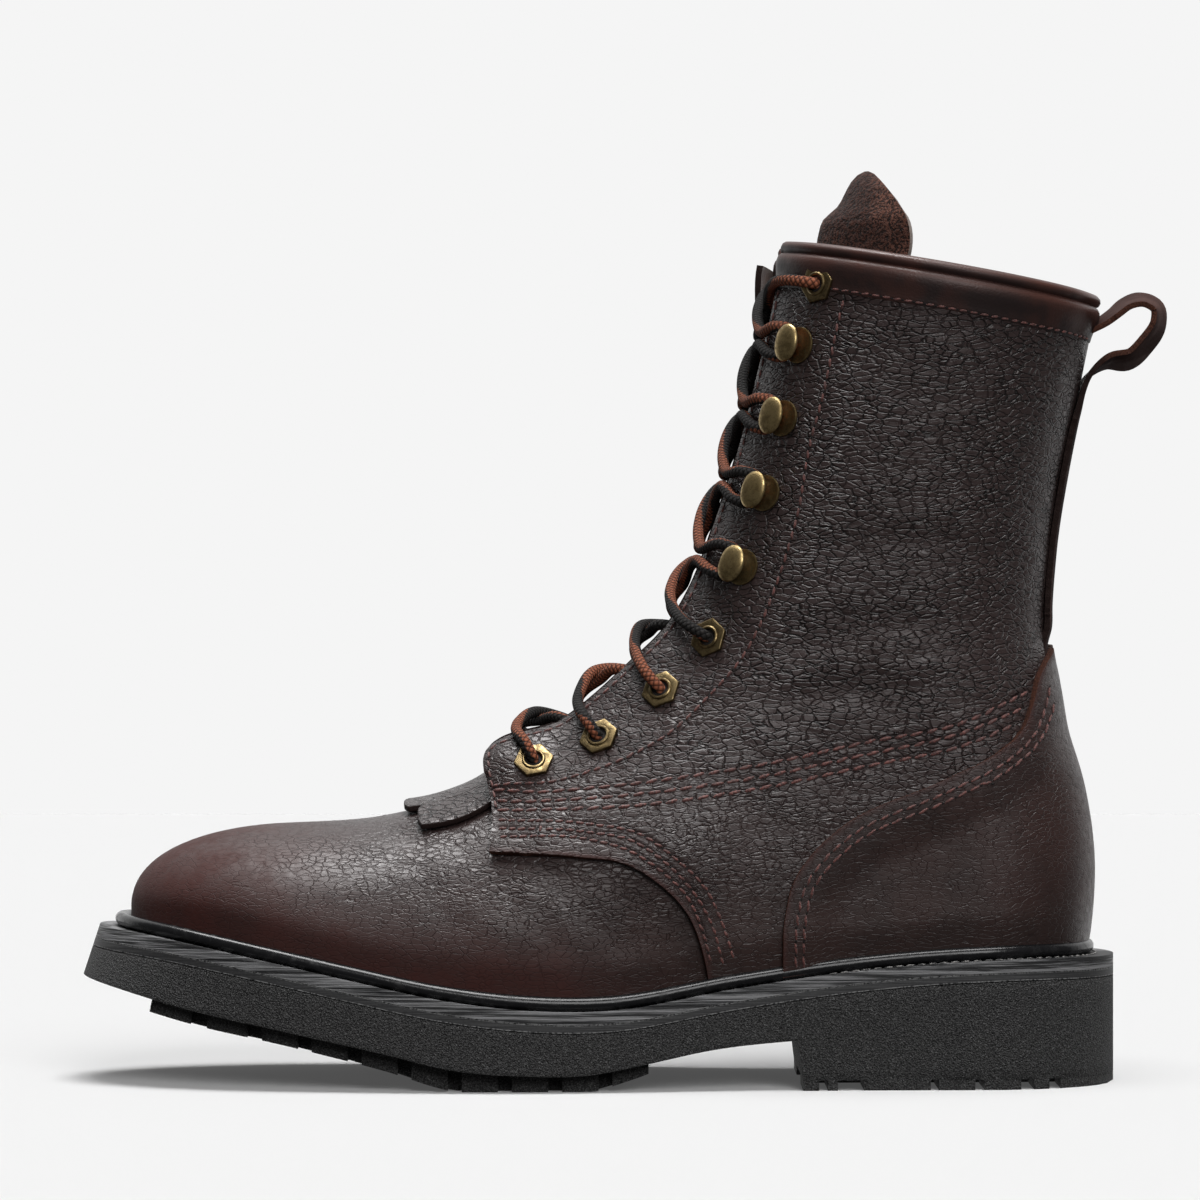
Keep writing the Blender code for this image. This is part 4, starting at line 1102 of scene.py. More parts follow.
def pebbled_leather():
    """Oiled leather with a pebbled grain, burnished to red-brown where its mark says, its colour darkened
    in the grain's grooves as painted shade.
    """
    material, tree, shader = finish("pebbled_leather", (0.03, 0.02, 0.018), 0.4, gloss=0.42)
    plain = stretched(tree)
    long = stretched(tree, PEBBLE_STRETCH)
    drift = node(tree, "ShaderNodeTexNoise", {"Vector": plain, "Scale": 190.0, "Detail": 2.0})
    centred = shifted(tree, "SUBTRACT", {0: drift.outputs["Color"], 1: (0.5, 0.5, 0.5)})
    push = shifted(tree, "SCALE", {0: centred, 3: PEBBLE_DRIFT})
    place = shifted(tree, "ADD", {0: long, 1: push})
    edge = cells(tree, place, 620.0, "DISTANCE_TO_EDGE")
    dome = ranged(tree, edge, 0.0, 0.14)
    groove = ranged(tree, edge, 0.0, 0.08)
    small = cells(tree, place, 760.0, "DISTANCE_TO_EDGE")
    fine = ranged(tree, small, 0.0, 0.075)
    coarse = ranged(tree, mark(tree, "grain"), 0.35, 0.85)
    patchy = ranged(tree, speckle(tree, plain, 60.0, 3.0), 0.35, 0.65)
    uneven = ranged(tree, speckle(tree, long, 150.0, 2.0), 0.35, 0.65, 0.6, 1.15)
    pores = speckle(tree, plain, 2600.0, 2.0)
    depth = sums(tree, "MULTIPLY", mark(tree, "grain"), uneven)
    thin = sums(tree, "MULTIPLY", fine, ranged(tree, coarse, 0.0, 1.0, 0.75, 0.2))
    height = sums(tree, "MULTIPLY_ADD", sums(tree, "MULTIPLY", dome, coarse), 1.1, thin)
    height = sums(tree, "MULTIPLY", height, depth)
    height = sums(tree, "MULTIPLY_ADD", pores, 0.08, height)
    bumped(tree, shader, height, 0.46)
    tone = mixed(tree, patchy, (0.030, 0.0173, 0.0155), (0.038, 0.0200, 0.0176))
    tone = mixed(tree, sums(tree, "MULTIPLY", coarse, 0.85), tone, (0.043, 0.0285, 0.0275))
    burnish = sums(tree, "MULTIPLY", mark(tree, "burnish"), ranged(tree, patchy, 0.0, 1.0, 0.75, 1.0))
    tone = mixed(tree, burnish, tone, (0.070, 0.0145, 0.0105))
    # Painted shade: the colour is multiplied down towards near-black in the grooves of the grain, the more
    # so where the grain is deeper.
    creases = node(tree, "ShaderNodeMix", {0: coarse, 2: fine, 3: groove}).outputs[0]
    shut = sums(tree, "SUBTRACT", 1.0, sums(tree, "MULTIPLY", depth, sums(tree, "SUBTRACT", 1.0, creases)))
    painted_shade = mixed(tree, shut, (0.12, 0.10, 0.10), (1.0, 1.0, 1.0))
    shade = node(tree, "ShaderNodeMix", {0: 1.0, 6: tone, 7: painted_shade}, data_type="RGBA", blend_type="MULTIPLY")
    coloured(tree, shader, shade.outputs[2])
    rough = ranged(tree, speckle(tree, plain, 420.0, 2.0), 0.3, 0.7, 0.34, 0.46)
    rough = sums(tree, "MULTIPLY_ADD", coarse, -0.02, rough)
    roughened(tree, shader, sums(tree, "MULTIPLY_ADD", burnish, 0.62, rough))
    return material


def smooth_leather(name, gloss, dull):
    """Soft garment leather of collar and strap, red-brown where its burnish mark says: wear, and on the
    collar also painted highlight.
    """
    material, tree, shader = finish(name, (0.05, 0.022, 0.019), 0.42, gloss=gloss)
    plain = stretched(tree)
    patchy = ranged(tree, speckle(tree, plain, 75.0, 4.0), 0.38, 0.66)
    tone = mixed(tree, patchy, (0.020, 0.0115, 0.011), (0.050, 0.022, 0.018))
    # Red-brown share: wear on the strap, wear and painted highlight on the collar.
    rubbed = sums(tree, "MULTIPLY", mark(tree, "burnish"), 0.7)
    tone = mixed(tree, rubbed, tone, (0.105, 0.040, 0.029))
    coloured(tree, shader, tone)
    creases = ranged(tree, cells(tree, plain, 900.0, "DISTANCE_TO_EDGE"), 0.0, 0.25)
    creases = sums(tree, "MULTIPLY", creases, 0.3)
    height = sums(tree, "MULTIPLY_ADD", speckle(tree, plain, 1400.0, 3.0), 0.5, creases)
    bumped(tree, shader, height, 0.12, 0.6)
    roughened(tree, shader, ranged(tree, patchy, 0.0, 1.0, dull, dull - 0.14))
    return material


def cut_edge():
    """Raw cut edge of the leather: fibrous and red-brown."""
    material, tree, shader = finish("cut_edge", (0.1, 0.035, 0.02), 0.85, gloss=0.2)
    plain = stretched(tree)
    fibre = speckle(tree, plain, 1800.0, 4.0, 0.7)
    patchy = speckle(tree, plain, 120.0, 3.0)
    tone = mixed(tree, ranged(tree, fibre, 0.3, 0.7), (0.026, 0.011, 0.008), (0.125, 0.044, 0.025))
    tone = mixed(tree, ranged(tree, patchy, 0.3, 0.7, 0.0, 0.6), tone, (0.055, 0.022, 0.015))
    tone = mixed(tree, ranged(tree, mark(tree, "burnish"), 0.05, 0.4), (0.020, 0.0105, 0.009), tone)
    coloured(tree, shader, tone)
    bumped(tree, shader, fibre, 0.5, 0.9)
    return material


def flesh_side(name, low, high):
    """Napped inner side of the leather."""
    material, tree, shader = finish(name, high, 0.92, sheen=0.25)
    plain = stretched(tree)
    nap = speckle(tree, plain, 1300.0, 4.0, 0.7)
    patchy = ranged(tree, speckle(tree, plain, 50.0, 3.0), 0.35, 0.65)
    tone = mixed(tree, patchy, low, high)
    tone = mixed(tree, ranged(tree, nap, 0.3, 0.7, 0.0, 0.5), tone, (0.04, 0.018, 0.012))
    coloured(tree, shader, tone)
    bumped(tree, shader, nap, 0.3, 0.8)
    return material


def suede():
    """Brown suede with a short mottled nap."""
    material, tree, shader = finish("suede", (0.075, 0.03, 0.02), 0.95, sheen=0.08, gloss=0.15)
    plain = stretched(tree)
    nap = speckle(tree, plain, 1150.0, 2.0, 0.8)
    clumps = speckle(tree, plain, 380.0, 3.0, 0.6)
    patchy = ranged(tree, speckle(tree, plain, 45.0, 3.0), 0.35, 0.68)
    tone = mixed(tree, patchy, (0.070, 0.028, 0.020), (0.190, 0.080, 0.055))
    tone = mixed(tree, ranged(tree, nap, 0.42, 0.58, 0.95, 0.0), tone, (0.010, 0.005, 0.004))
    coloured(tree, shader, tone)
    height = sums(tree, "MULTIPLY_ADD", nap, 0.6, clumps)
    bumped(tree, shader, height, 1.0)
    return material


def antique_brass(name, hollow, rubbed):
    """Brass with noise patches of patina and rubbed bright metal, and fine grit."""
    material, tree, shader = finish(name, (0.3, 0.2, 0.08), 0.3, metallic=1.0)
    plain = stretched(tree)
    stain = ranged(tree, speckle(tree, plain, 420.0, 5.0, 0.65), 0.36, 0.66)
    grit = speckle(tree, plain, 2200.0, 3.0)
    tone = mixed(tree, stain, hollow, rubbed)
    tone = mixed(tree, ranged(tree, grit, 0.55, 0.75, 0.0, 0.7), tone, (0.10, 0.065, 0.03))
    coloured(tree, shader, tone)
    roughened(tree, shader, ranged(tree, stain, 0.0, 1.0, 0.48, 0.32))
    bumped(tree, shader, grit, 0.05, 0.5)
    return material


def braided_lace():
    """Round braid, rust on one side and black on the other, that turns slowly along its length."""
    material, tree, shader = finish("braided_lace", (0.1, 0.04, 0.02), 0.85, gloss=0.2)
    uv = node(tree, "ShaderNodeUVMap", uv_map="UVMap").outputs[0]
    parts = node(tree, "ShaderNodeSeparateXYZ", {0: uv})
    along, around = parts.outputs[0], parts.outputs[1]
    left = sums(tree, "MULTIPLY_ADD", along, 1.0, sums(tree, "MULTIPLY", around, 4.0))
    right = sums(tree, "MULTIPLY_ADD", along, 1.0, sums(tree, "MULTIPLY", around, -4.0))
    over = sums(tree, "ABSOLUTE", sums(tree, "SINE", sums(tree, "MULTIPLY", left, math.pi)))
    under = sums(tree, "ABSOLUTE", sums(tree, "SINE", sums(tree, "MULTIPLY", right, math.pi)))
    weave = sums(tree, "MULTIPLY", sums(tree, "POWER", over, 0.6), sums(tree, "POWER", under, 0.6))
    wander = speckle(tree, stretched(tree), 95.0, 1.0)
    turn = sums(tree, "MULTIPLY_ADD", along, 0.022, sums(tree, "MULTIPLY", wander, 0.35))
    angle = sums(tree, "MULTIPLY", sums(tree, "ADD", around, turn), 2 * math.pi)
    ragged = sums(tree, "MULTIPLY_ADD", sums(tree, "SUBTRACT", over, under), 0.3, sums(tree, "SINE", angle))
    side = ranged(tree, ragged, -0.1, 0.1)
    rust = mixed(tree, weave, (0.04, 0.013, 0.008), (0.36, 0.120, 0.062))
    black = mixed(tree, weave, (0.003, 0.003, 0.003), (0.024, 0.021, 0.020))
    coloured(tree, shader, mixed(tree, side, black, rust))
    bumped(tree, shader, weave, 0.45, 0.9)
    return material


def thread():
    """Twisted sewing thread."""
    material, tree, shader = finish("thread", (0.09, 0.032, 0.026), 0.6, sheen=0.2)
    plain = stretched(tree)
    twist = speckle(tree, plain, 1700.0, 2.0)
    patchy = speckle(tree, plain, 90.0, 2.0)
    tone = mixed(tree, ranged(tree, twist, 0.35, 0.65), (0.044, 0.013, 0.011), (0.190, 0.064, 0.053))
    tone = mixed(tree, ranged(tree, patchy, 0.45, 0.7, 0.0, 0.5), tone, (0.07, 0.026, 0.022))
    coloured(tree, shader, tone)
    bumped(tree, shader, twist, 0.25, 0.8)
    return material


def pale_thread():
    """Grey-black waxed thread of the welt seam."""
    material, tree, shader = finish("pale_thread", (0.08, 0.08, 0.08), 0.55)
    twist = speckle(tree, stretched(tree), 1500.0, 2.0)
    tone = mixed(tree, ranged(tree, twist, 0.4, 0.65), (0.03, 0.03, 0.03), (0.30, 0.29, 0.28))
    coloured(tree, shader, tone)
    bumped(tree, shader, twist, 0.2, 0.8)
    return material


def hole_shade():
    """Painted shade: near-black colour for the needle holes and the insides of the eyelets, with a faint
    speckle.
    """
    material, tree, shader = finish("hole_shade", (0.006, 0.004, 0.004), 0.9)
    dust_and_shade_speckle = speckle(tree, stretched(tree), 900.0, 2.0)
    coloured(tree, shader, mixed(tree, dust_and_shade_speckle, (0.003, 0.002, 0.002), (0.010, 0.006, 0.005)))
    return material


def cellular_rubber():
    """Matte black rubber with a granular moulded face."""
    material, tree, shader = finish("cellular_rubber", (0.02, 0.02, 0.02), 0.75)
    plain = stretched(tree)
    grain = speckle(tree, plain, 1900.0, 3.0, 0.75)
    lumps = ranged(tree, cells(tree, plain, 1700.0, "F1"), 0.0, 0.7, 1.0, 0.0)
    dust_and_shade_speckle = ranged(tree, speckle(tree, plain, 2600.0, 2.0), 0.58, 0.68)
    tone = mixed(tree, ranged(tree, grain, 0.40, 0.60), (0.004, 0.004, 0.004), (0.060, 0.059, 0.059))
    tone = mixed(tree, sums(tree, "MULTIPLY", dust_and_shade_speckle, 0.7), tone, (0.19, 0.19, 0.19))
    coloured(tree, shader, tone)
    height = sums(tree, "MULTIPLY_ADD", lumps, 0.6, grain)
    bumped(tree, shader, height, 0.8)
    return material


def trimmed_rubber():
    """Rubber edge that was trimmed with a blade, with long slanting streaks, a pale line at the layer joint
    and a pale line along its foot that is painted edge highlight.
    """
    material, tree, shader = finish("trimmed_rubber", (0.02, 0.02, 0.02), 0.6)
    streaks = speckle(tree, stretched(tree, (22, 22, 900), (0.0, math.radians(-5), 0.0)), 1.0, 4.0, 0.6)
    grain = speckle(tree, stretched(tree), 1500.0, 2.0)
    fine = speckle(tree, stretched(tree, (60, 60, 2600), (0.0, math.radians(9), 0.0)), 1.0, 2.0)
    both = sums(tree, "MULTIPLY_ADD", fine, 0.5, streaks)
    tone = mixed(tree, ranged(tree, both, 0.66, 0.88), (0.006, 0.006, 0.007), (0.200, 0.200, 0.205))
    layer = mark(tree, "layer")
    lower = ranged(tree, layer, 0.60, 0.64)
    tone = mixed(tree, lower, tone, mixed(tree, grain, (0.014, 0.014, 0.015), (0.040, 0.040, 0.041)))
    gap = sums(tree, "ABSOLUTE", sums(tree, "SUBTRACT", layer, 0.62))
    line = ranged(tree, gap, 0.02, 0.05, 1.0, 0.0)
    # Pale line along the foot of the edge: painted edge highlight.
    foot = ranged(tree, layer, 0.93, 0.98)
    grain_breakup = ranged(tree, grain, 0.35, 0.6)
    line = sums(tree, "MULTIPLY", sums(tree, "MAXIMUM", line, foot), grain_breakup)
    tone = mixed(tree, line, tone, (0.28, 0.28, 0.28))
    coloured(tree, shader, tone)
    height = sums(tree, "MULTIPLY_ADD", grain, 0.15, both)
    height = sums(tree, "MULTIPLY", height, ranged(tree, layer, 0.60, 0.64, 1.0, 0.35))
    bumped(tree, shader, height, 0.7)
    return material


def glossy_welt():
    """Smooth glossy black bead with a few scuffs."""
    material, tree, shader = finish("glossy_welt", (0.010, 0.010, 0.011), 0.3, gloss=0.35)
    plain = stretched(tree)
    scuff = ranged(tree, speckle(tree, plain, 260.0, 4.0), 0.5, 0.75)
    coloured(tree, shader, mixed(tree, scuff, (0.008, 0.008, 0.009), (0.020, 0.020, 0.021)))
    roughened(tree, shader, ranged(tree, scuff, 0.0, 1.0, 0.24, 0.42))
    bumped(tree, shader, speckle(tree, plain, 500.0, 3.0), 0.12, 0.5)
    return material


def insole_board():
    """Tan leather insole."""
    material, tree, shader = finish("insole_board", (0.2, 0.12, 0.07), 0.8)
    plain = stretched(tree)
    patchy = ranged(tree, speckle(tree, plain, 35.0, 4.0), 0.35, 0.65)
    coloured(tree, shader, mixed(tree, patchy, (0.15, 0.085, 0.048), (0.24, 0.145, 0.085)))
    bumped(tree, shader, speckle(tree, plain, 1300.0, 3.0), 0.15, 0.6)
    return material


LEATHER = pebbled_leather()
COLLAR_LEATHER = smooth_leather("collar_leather", 0.35, 0.5)
STRAP_LEATHER = smooth_leather("strap_leather", 0.1, 0.9)
EDGE = cut_edge()
FLESH = flesh_side("flesh_side", (0.070, 0.033, 0.021), (0.115, 0.054, 0.032))
PALE_EDGE = flesh_side("pale_suede_edge", (0.16, 0.115, 0.095), (0.36, 0.28, 0.235))
SUEDE = suede()
CAP_BRASS = antique_brass("antique_brass", (0.19, 0.138, 0.063), (0.47, 0.352, 0.169))
EYELET_BRASS = antique_brass("dark_brass", (0.10, 0.072, 0.035), (0.29, 0.215, 0.105))
LACE = braided_lace()
THREAD = thread()
WELT_THREAD = pale_thread()
HOLE_SHADE = hole_shade()
RUBBER = cellular_rubber()
TRIMMED = trimmed_rubber()
WELT = glossy_welt()
INSOLE = insole_board()


# Rubbed places: strength, and the ranges over which each sets in
TOE_BURNISH = 0.85
TOE_BURNISH_X = (-138.0, -70.0)
LOW_BURNISH = 0.7
LOW_BURNISH_HEIGHT = (4.0, 30.0)
LOW_BURNISH_X = (-30.0, 20.0)
HEEL_BURNISH = 0.07
HEEL_BURNISH_X = (70.0, 130.0)
HEEL_BURNISH_FOOT = (8.0, 24.0)
HEEL_BURNISH_TOP = (40.0, 80.0)

# Depth of the grain: everywhere, more on vamp, shaft and counter, and where each sets in
GRAIN_LEAST = 0.25
VAMP_GRAIN = 0.4
VAMP_GRAIN_X = (-135.0, -60.0)
VAMP_GRAIN_HEIGHT = (4.0, 40.0)
SHAFT_GRAIN = 0.75
SHAFT_GRAIN_Z = (76.0, 120.0)
COUNTER_GRAIN = 0.3
COUNTER_GRAIN_Z = (60.0, 110.0)


def burnish_of(x, z):
    """Where the leather is rubbed to red-brown: toe, lower vamp and a little round the heel."""
    height = z - seat(x)
    toe = (1 - ramp(x, *TOE_BURNISH_X)) * TOE_BURNISH
    low = (1 - ramp(height, *LOW_BURNISH_HEIGHT)) * (1 - ramp(x, *LOW_BURNISH_X)) * LOW_BURNISH
    heel = ramp(x, *HEEL_BURNISH_X) * ramp(height, *HEEL_BURNISH_FOOT)
    heel = heel * (1 - ramp(height, *HEEL_BURNISH_TOP)) * HEEL_BURNISH
    return np.clip(np.maximum(np.maximum(toe, low), heel), 0, 1)


def grain_of(x, z):
    """How deep the pebbled grain is: fine on the toe and low down, full on the shaft."""
    vamp = ramp(x, *VAMP_GRAIN_X) * ramp(z - seat(x), *VAMP_GRAIN_HEIGHT)
    shaft = ramp(z, *SHAFT_GRAIN_Z)
    return GRAIN_LEAST + VAMP_GRAIN * vamp * (1 - shaft) + SHAFT_GRAIN * shaft


# Creases, each a soft trough with its path in side view, depth and half width
CREASES = (
    (((-52.0, 80.0), (-46.0, 66.0), (-34.0, 52.0)), 0.2, 3.4),
    (((-40.0, 66.0), (-30.0, 54.0), (-20.0, 44.0)), 0.24, 3.6),
    (((-22.0, 64.0), (-12.0, 53.0), (0.0, 44.0)), 0.2, 3.4),
    (((-64.0, 74.0), (-58.0, 62.0), (-50.0, 50.0)), 0.15, 3.4),
    (((44.0, 112.0), (62.0, 118.0), (84.0, 117.0)), 0.5, 4.0),
    (((52.0, 134.0), (74.0, 139.0), (100.0, 135.0)), 0.45, 4.5),
    (((60.0, 160.0), (86.0, 163.0), (112.0, 158.0)), 0.35, 4.5),
)
# Share of a crease's depth that its lip stands up, and where the vamp's and the quarter's creases set in
CREASE_LIP = 0.45
VAMP_CREASE_X = (-120.0, -90.0)
VAMP_CREASE_FOOT = (4.0, 14.0)
VAMP_CREASE_TOP = (74.0, 84.0)
QUARTER_CREASE_FOOT = (10.0, 40.0)
SWELL = 0.22


def creased(x, z):
    """Height of the leather over its smooth shape, from the creases and a slow swell."""
    height = SWELL * np.sin(x / 9.5 + z / 23.0) * np.sin(z / 13.0 - x / 31.0)
    for path, depth, half in CREASES:
        away = away_from(x, z, drawn(path, 24)) / half
        height = height - depth * np.exp(-away ** 2) + CREASE_LIP * depth * np.exp(-(away - 2.0) ** 2)
    return height


def shut(shape, *rows):
    """Marks of the rows of a net that lie in the boot's middle plane."""
    closed = np.zeros(shape, bool)
    closed[list(rows)] = True
    return closed


def make_upper():
    """Vamp and shaft as one hollow wall, napped inside."""
    foot, shaft = upper_nets()
    closed_foot = shut(foot.shape[:2], 0, -1)
    closed_foot[:RIDGE_COLUMNS + 1, -1] = True
    sheets = []
    for _, side in SIDES:
        for net, closed in ((foot, closed_foot), (shaft, shut(shaft.shape[:2], -1))):
            x, z = net[..., 0], net[..., 1]
            fade = ramp(z - seat(x), *VAMP_CREASE_FOOT) * ramp(x, *VAMP_CREASE_X)
            fade = fade * (1 - ramp(z, *VAMP_CREASE_TOP))
            face = raised(skin(net, side, closed), creased(x, z) * fade)
            marks = {"burnish": burnish_of(x, z), "grain": grain_of(x, z)}
            sheets.append(laid(face, side == MEDIAL, **marks))
    upper = sewn("vamp_and_shaft", sheets)
    walled(upper, WALL, WALL_SOFT)
    dressed(upper, "pebbled_leather", ["upper"], LEATHER, FLESH, EDGE)


def rubbed_near(x, z, line):
    """Burnish of an overlay, with a rubbed line along its cut edge."""
    edge = EDGE_RUB * np.exp(-(away_from(x, z, line) / EDGE_RUB_WIDTH) ** 2)
    return np.maximum(burnish_of(x, z), edge)


def quarter_height(x, z):
    """Outer face of the quarter, with the seams drawn in a little."""
    crease = creased(x, z) * ramp(z - seat(x), *QUARTER_CREASE_FOOT)
    height = facing_lift(x, z) + QUARTER_FACE + crease
    for row in LOWER_STITCHES + LONG_STITCHES:
        height = height - SEAM_DRAW * np.exp(-(away_from(x, z, drawn(row, 40)) / SEAM_WIDTH) ** 2)
    return height


def make_quarters():
    """Overlay on each side: facing, shaft and the curved lower edge."""
    nets = quarter_nets()
    for word, side in SIDES:
        sheets = []
        for net in nets:
            x, z = net[..., 0], net[..., 1]
            face = raised(skin(net, side, least=SEAM_HALF), quarter_height(x, z))
            if side == MEDIAL:
                depth = nearest(x, z, FRONT, -1)[0]
                corner = ramp(z, *CORNER_RANGE) * (1 - ramp(depth, *CORNER_DEPTH))
                face = face + corner[..., None] * np.array(CORNER_SHIFT)
            marks = {"burnish": rubbed_near(x, z, drawn(QUARTER_LOWER, 40)), "grain": grain_of(x, z)}
            sheets.append(laid(face, side == MEDIAL, **marks))
        quarter = sewn(f"quarter_panel_{word}", sheets)
        walled(quarter, QUARTER_SHEET, QUARTER_SOFT)
        dressed(quarter, "pebbled_leather", [f"quarter_{word}"], LEATHER, FLESH, EDGE)


def counter_net():
    """Side-view net of the counter, and its edge."""
    edge = counter_points(COUNTER_OUT)
    left = edge[:COUNTER_SPLIT + 1].copy()
    top = edge[COUNTER_SPLIT:].copy()
    heel = heel_point()
    top[-1] = back_path(edge[-1, 1], ANKLE_Z)[0]
    bottom = feather_path(left[0, 0], heel[0])
    bottom[:, 1] = seat(bottom[:, 0]) + OVERLAY_FOOT
    bottom[-1] = back_path(bottom[-1, 1], ANKLE_Z)[0]
    bottom = spread(bottom, len(top) - 1)
    left[0] = bottom[0]
    right = back_path(bottom[-1, 1], top[-1, 1])
    return patch(bottom, top, left, right, COUNTER_ROWS), edge


def counter_height(x, z, edge):
    """Outer face of the counter, which steps up over the quarter near its edge."""
    return COUNTER_FACE + COUNTER_STEP * (1 - ramp(away_from(x, z, edge), *COUNTER_STEP_RANGE))


def make_counter():
    """Overlay round the heel."""
    net, edge = counter_net()
    closed = shut(net.shape[:2], -1)
    x, z = net[..., 0], net[..., 1]
    grain = GRAIN_LEAST + COUNTER_GRAIN * ramp(z, *COUNTER_GRAIN_Z)
    marks = {"burnish": rubbed_near(x, z, edge), "grain": grain}
    sheets = []
    for _, side in SIDES:
        face = raised(skin(net, side, closed), counter_height(x, z, edge))
        sheets.append(laid(face, side == MEDIAL, **marks))
    counter = sewn("heel_counter", sheets)
    walled(counter, COUNTER_SHEET, COUNTER_SOFT)
    dressed(counter, "pebbled_leather", ["counter"], LEATHER, FLESH, EDGE)


def rounded_end(first, second):
    """Sections that close the end of a roll, from its tip to its first section."""
    middle = first.mean(0)
    ahead = unit((first - second).mean(0)) * COLLAR_TIP
    turns = np.radians((90, 72, 54, 36, 18))
    return np.stack([middle + (first - middle) * math.cos(t) + ahead * math.sin(t) for t in turns])


def make_collar():
    """Collar with a thin roll, a groove and a soft band, with rounded front ends."""
    throat = throat_path(FACING_X, facing_gap)
    profile = COLLAR_PROFILE + COLLAR_PROFILE[:1]
    columns = []
    for out, up in profile:
        front = below_rim(throat, -up)[-1]
        line = spread(straight(front, rim_end(-up)), COLLAR_COLUMNS)
        closed = shut(len(line), -1)
        lateral = raised(skin(line, LATERAL, closed), out)
        medial = raised(skin(line, MEDIAL, closed), out)
        columns.append(np.concatenate([lateral, medial[-2::-1]]))
    net = np.stack(columns, 1)
    net = np.concatenate([rounded_end(net[0], net[1]), net, rounded_end(net[-1], net[-2])[::-1]])
    ups = np.array(profile)[:, 1]
    # Red-brown bands along the roll's top and the band's upper edge: wear with painted highlight.
    rub_and_highlight = sum(most * np.exp(-((ups - up) / wide) ** 2) for up, wide, most in COLLAR_RUBS_AND_HIGHLIGHTS)
    collar = sewn("collar_roll", [laid(net, burnish=np.broadcast_to(rub_and_highlight, net.shape[:2]))])
    outside_out(collar)
    dressed(collar, "smooth_leather", ["collar"], COLLAR_LEATHER)


def strip_path(count):
    """Middle line of the backstay strip and its loop, with the outward direction and run."""
    glued = back_path(STRIP_START_Z, STRIP_LEAVE_Z)[::10]
    rise = QUARTER_FACE + 2 * GAP + STRIP / 2 - STRIP_TUCK * (1 - ramp(glued[:, 1], *TUCK_RANGE))
    middle = raised(skin(glued, MEDIAL, np.ones(len(glued), bool)), rise)[:, [0, 2]]
    path = drawn(np.concatenate([middle, np.array(LOOP)]), count)
    return path, right_of(path), run_length(path)


def make_backstay():
    """Strip up the back seam with the pull loop, its cut edges a little ragged."""
    path, out, run = strip_path(STRIP_ROWS)
    shares = np.linspace(-1, 1, STRIP_COLUMNS)
    sag = STRIP_SAG * (1 - ramp(run, *SAG_ENDS))
    fray = noise.normal(0.0, STRIP_FRAY, (len(path), 2))
    flare = LOOP_FLARE * ramp(run, *FLARE_STARTS) * (1 - LOOP_CLOSE * ramp(run, *FLARE_ENDS))
    columns = []
    for share in shares:
        place = path + out * (STRIP / 2 - sag * share ** 2 + flare * share)[:, None]
        ragged = (fray[:, 0] if share < 0 else fray[:, 1]) * abs(share) ** 6
        y = share * STRIP_WIDTH / 2 + ragged
        columns.append(np.column_stack([place[:, 0], y, place[:, 1]]))
    net = np.stack(columns, 1)
    rub_and_highlight = np.broadcast_to(STRIP_RUB * ramp(run, *FLARE_STARTS)[:, None], net.shape[:2])
    strip = sewn("backstay_loop", [laid(net, True, burnish=rub_and_highlight)])
    walled(strip, STRIP, STRIP_SOFT)
    dressed(strip, "smooth_leather", ["backstay"], STRAP_LEATHER, FLESH, EDGE)


def tongue_rows():
    """Rows of the tongue from under the vamp up to its tip."""
    share = np.linspace(-1, 1, TONGUE_COLUMNS)
    rows = []
    for run in np.linspace(TONGUE_ROWS[0, 0], TONGUE_TOP, 56):
        row = crest_section(run, smooth(run, TONGUE_ROWS, 1) * share)
        bow = smooth(run, TONGUE_ROWS, 3) * np.outer(share ** 2, (1.0, 0.0, 0.0))
        rows.append(raised(row, -smooth(run, TONGUE_ROWS, 2)) + bow)
    middle = rows[-1][TONGUE_COLUMNS // 2]
    edge = rows[-1][-1]
    tip = np.array(TIP_ROWS)
    start = (middle[2], middle[0], edge[1], edge[0] - middle[0])
    table = np.vstack([start, tip])
    heights = (np.linspace(start[0], tip[-2, 0], 26)[1:], np.linspace(tip[-2, 0], tip[-1, 0], 8)[1:])
    for z in np.concatenate(heights):
        x, half, bow = (smooth(z, table, k) for k in (1, 2, 3))
        rows.append(np.column_stack([x + bow * share ** 2, half * share, np.full(len(share), z)]))
    return np.stack(rows)


def make_tongue():
    """Suede tongue behind the throat, with a narrow tip that leans back above the collar."""
    net = tongue_rows()
    tongue = sewn("suede_tongue", [laid(net)])
    walled(tongue, TONGUE, TONGUE_SOFT)
    dressed(tongue, "suede", ["tongue"], SUEDE, SUEDE, PALE_EDGE)


def kiltie_back(y):
    """Net of the kiltie's back part under the facings, at offsets y that draw in a little."""
    x = np.linspace(KILTIE_ROOT, KILTIE_BACK, KILTIE_ROWS)[:, None] + 0 * y
    return vamp_points(x, y * (1 - KILTIE_TAPER * ramp(x, KILTIE_ROOT, KILTIE_BACK)))


def kiltie_sheet(net, lift):
    """Part of the kiltie raised off the vamp."""
    flat = np.zeros(net.shape[:2])
    return laid(raised(net, lift), burnish=flat, grain=flat + KILTIE_GRAIN)


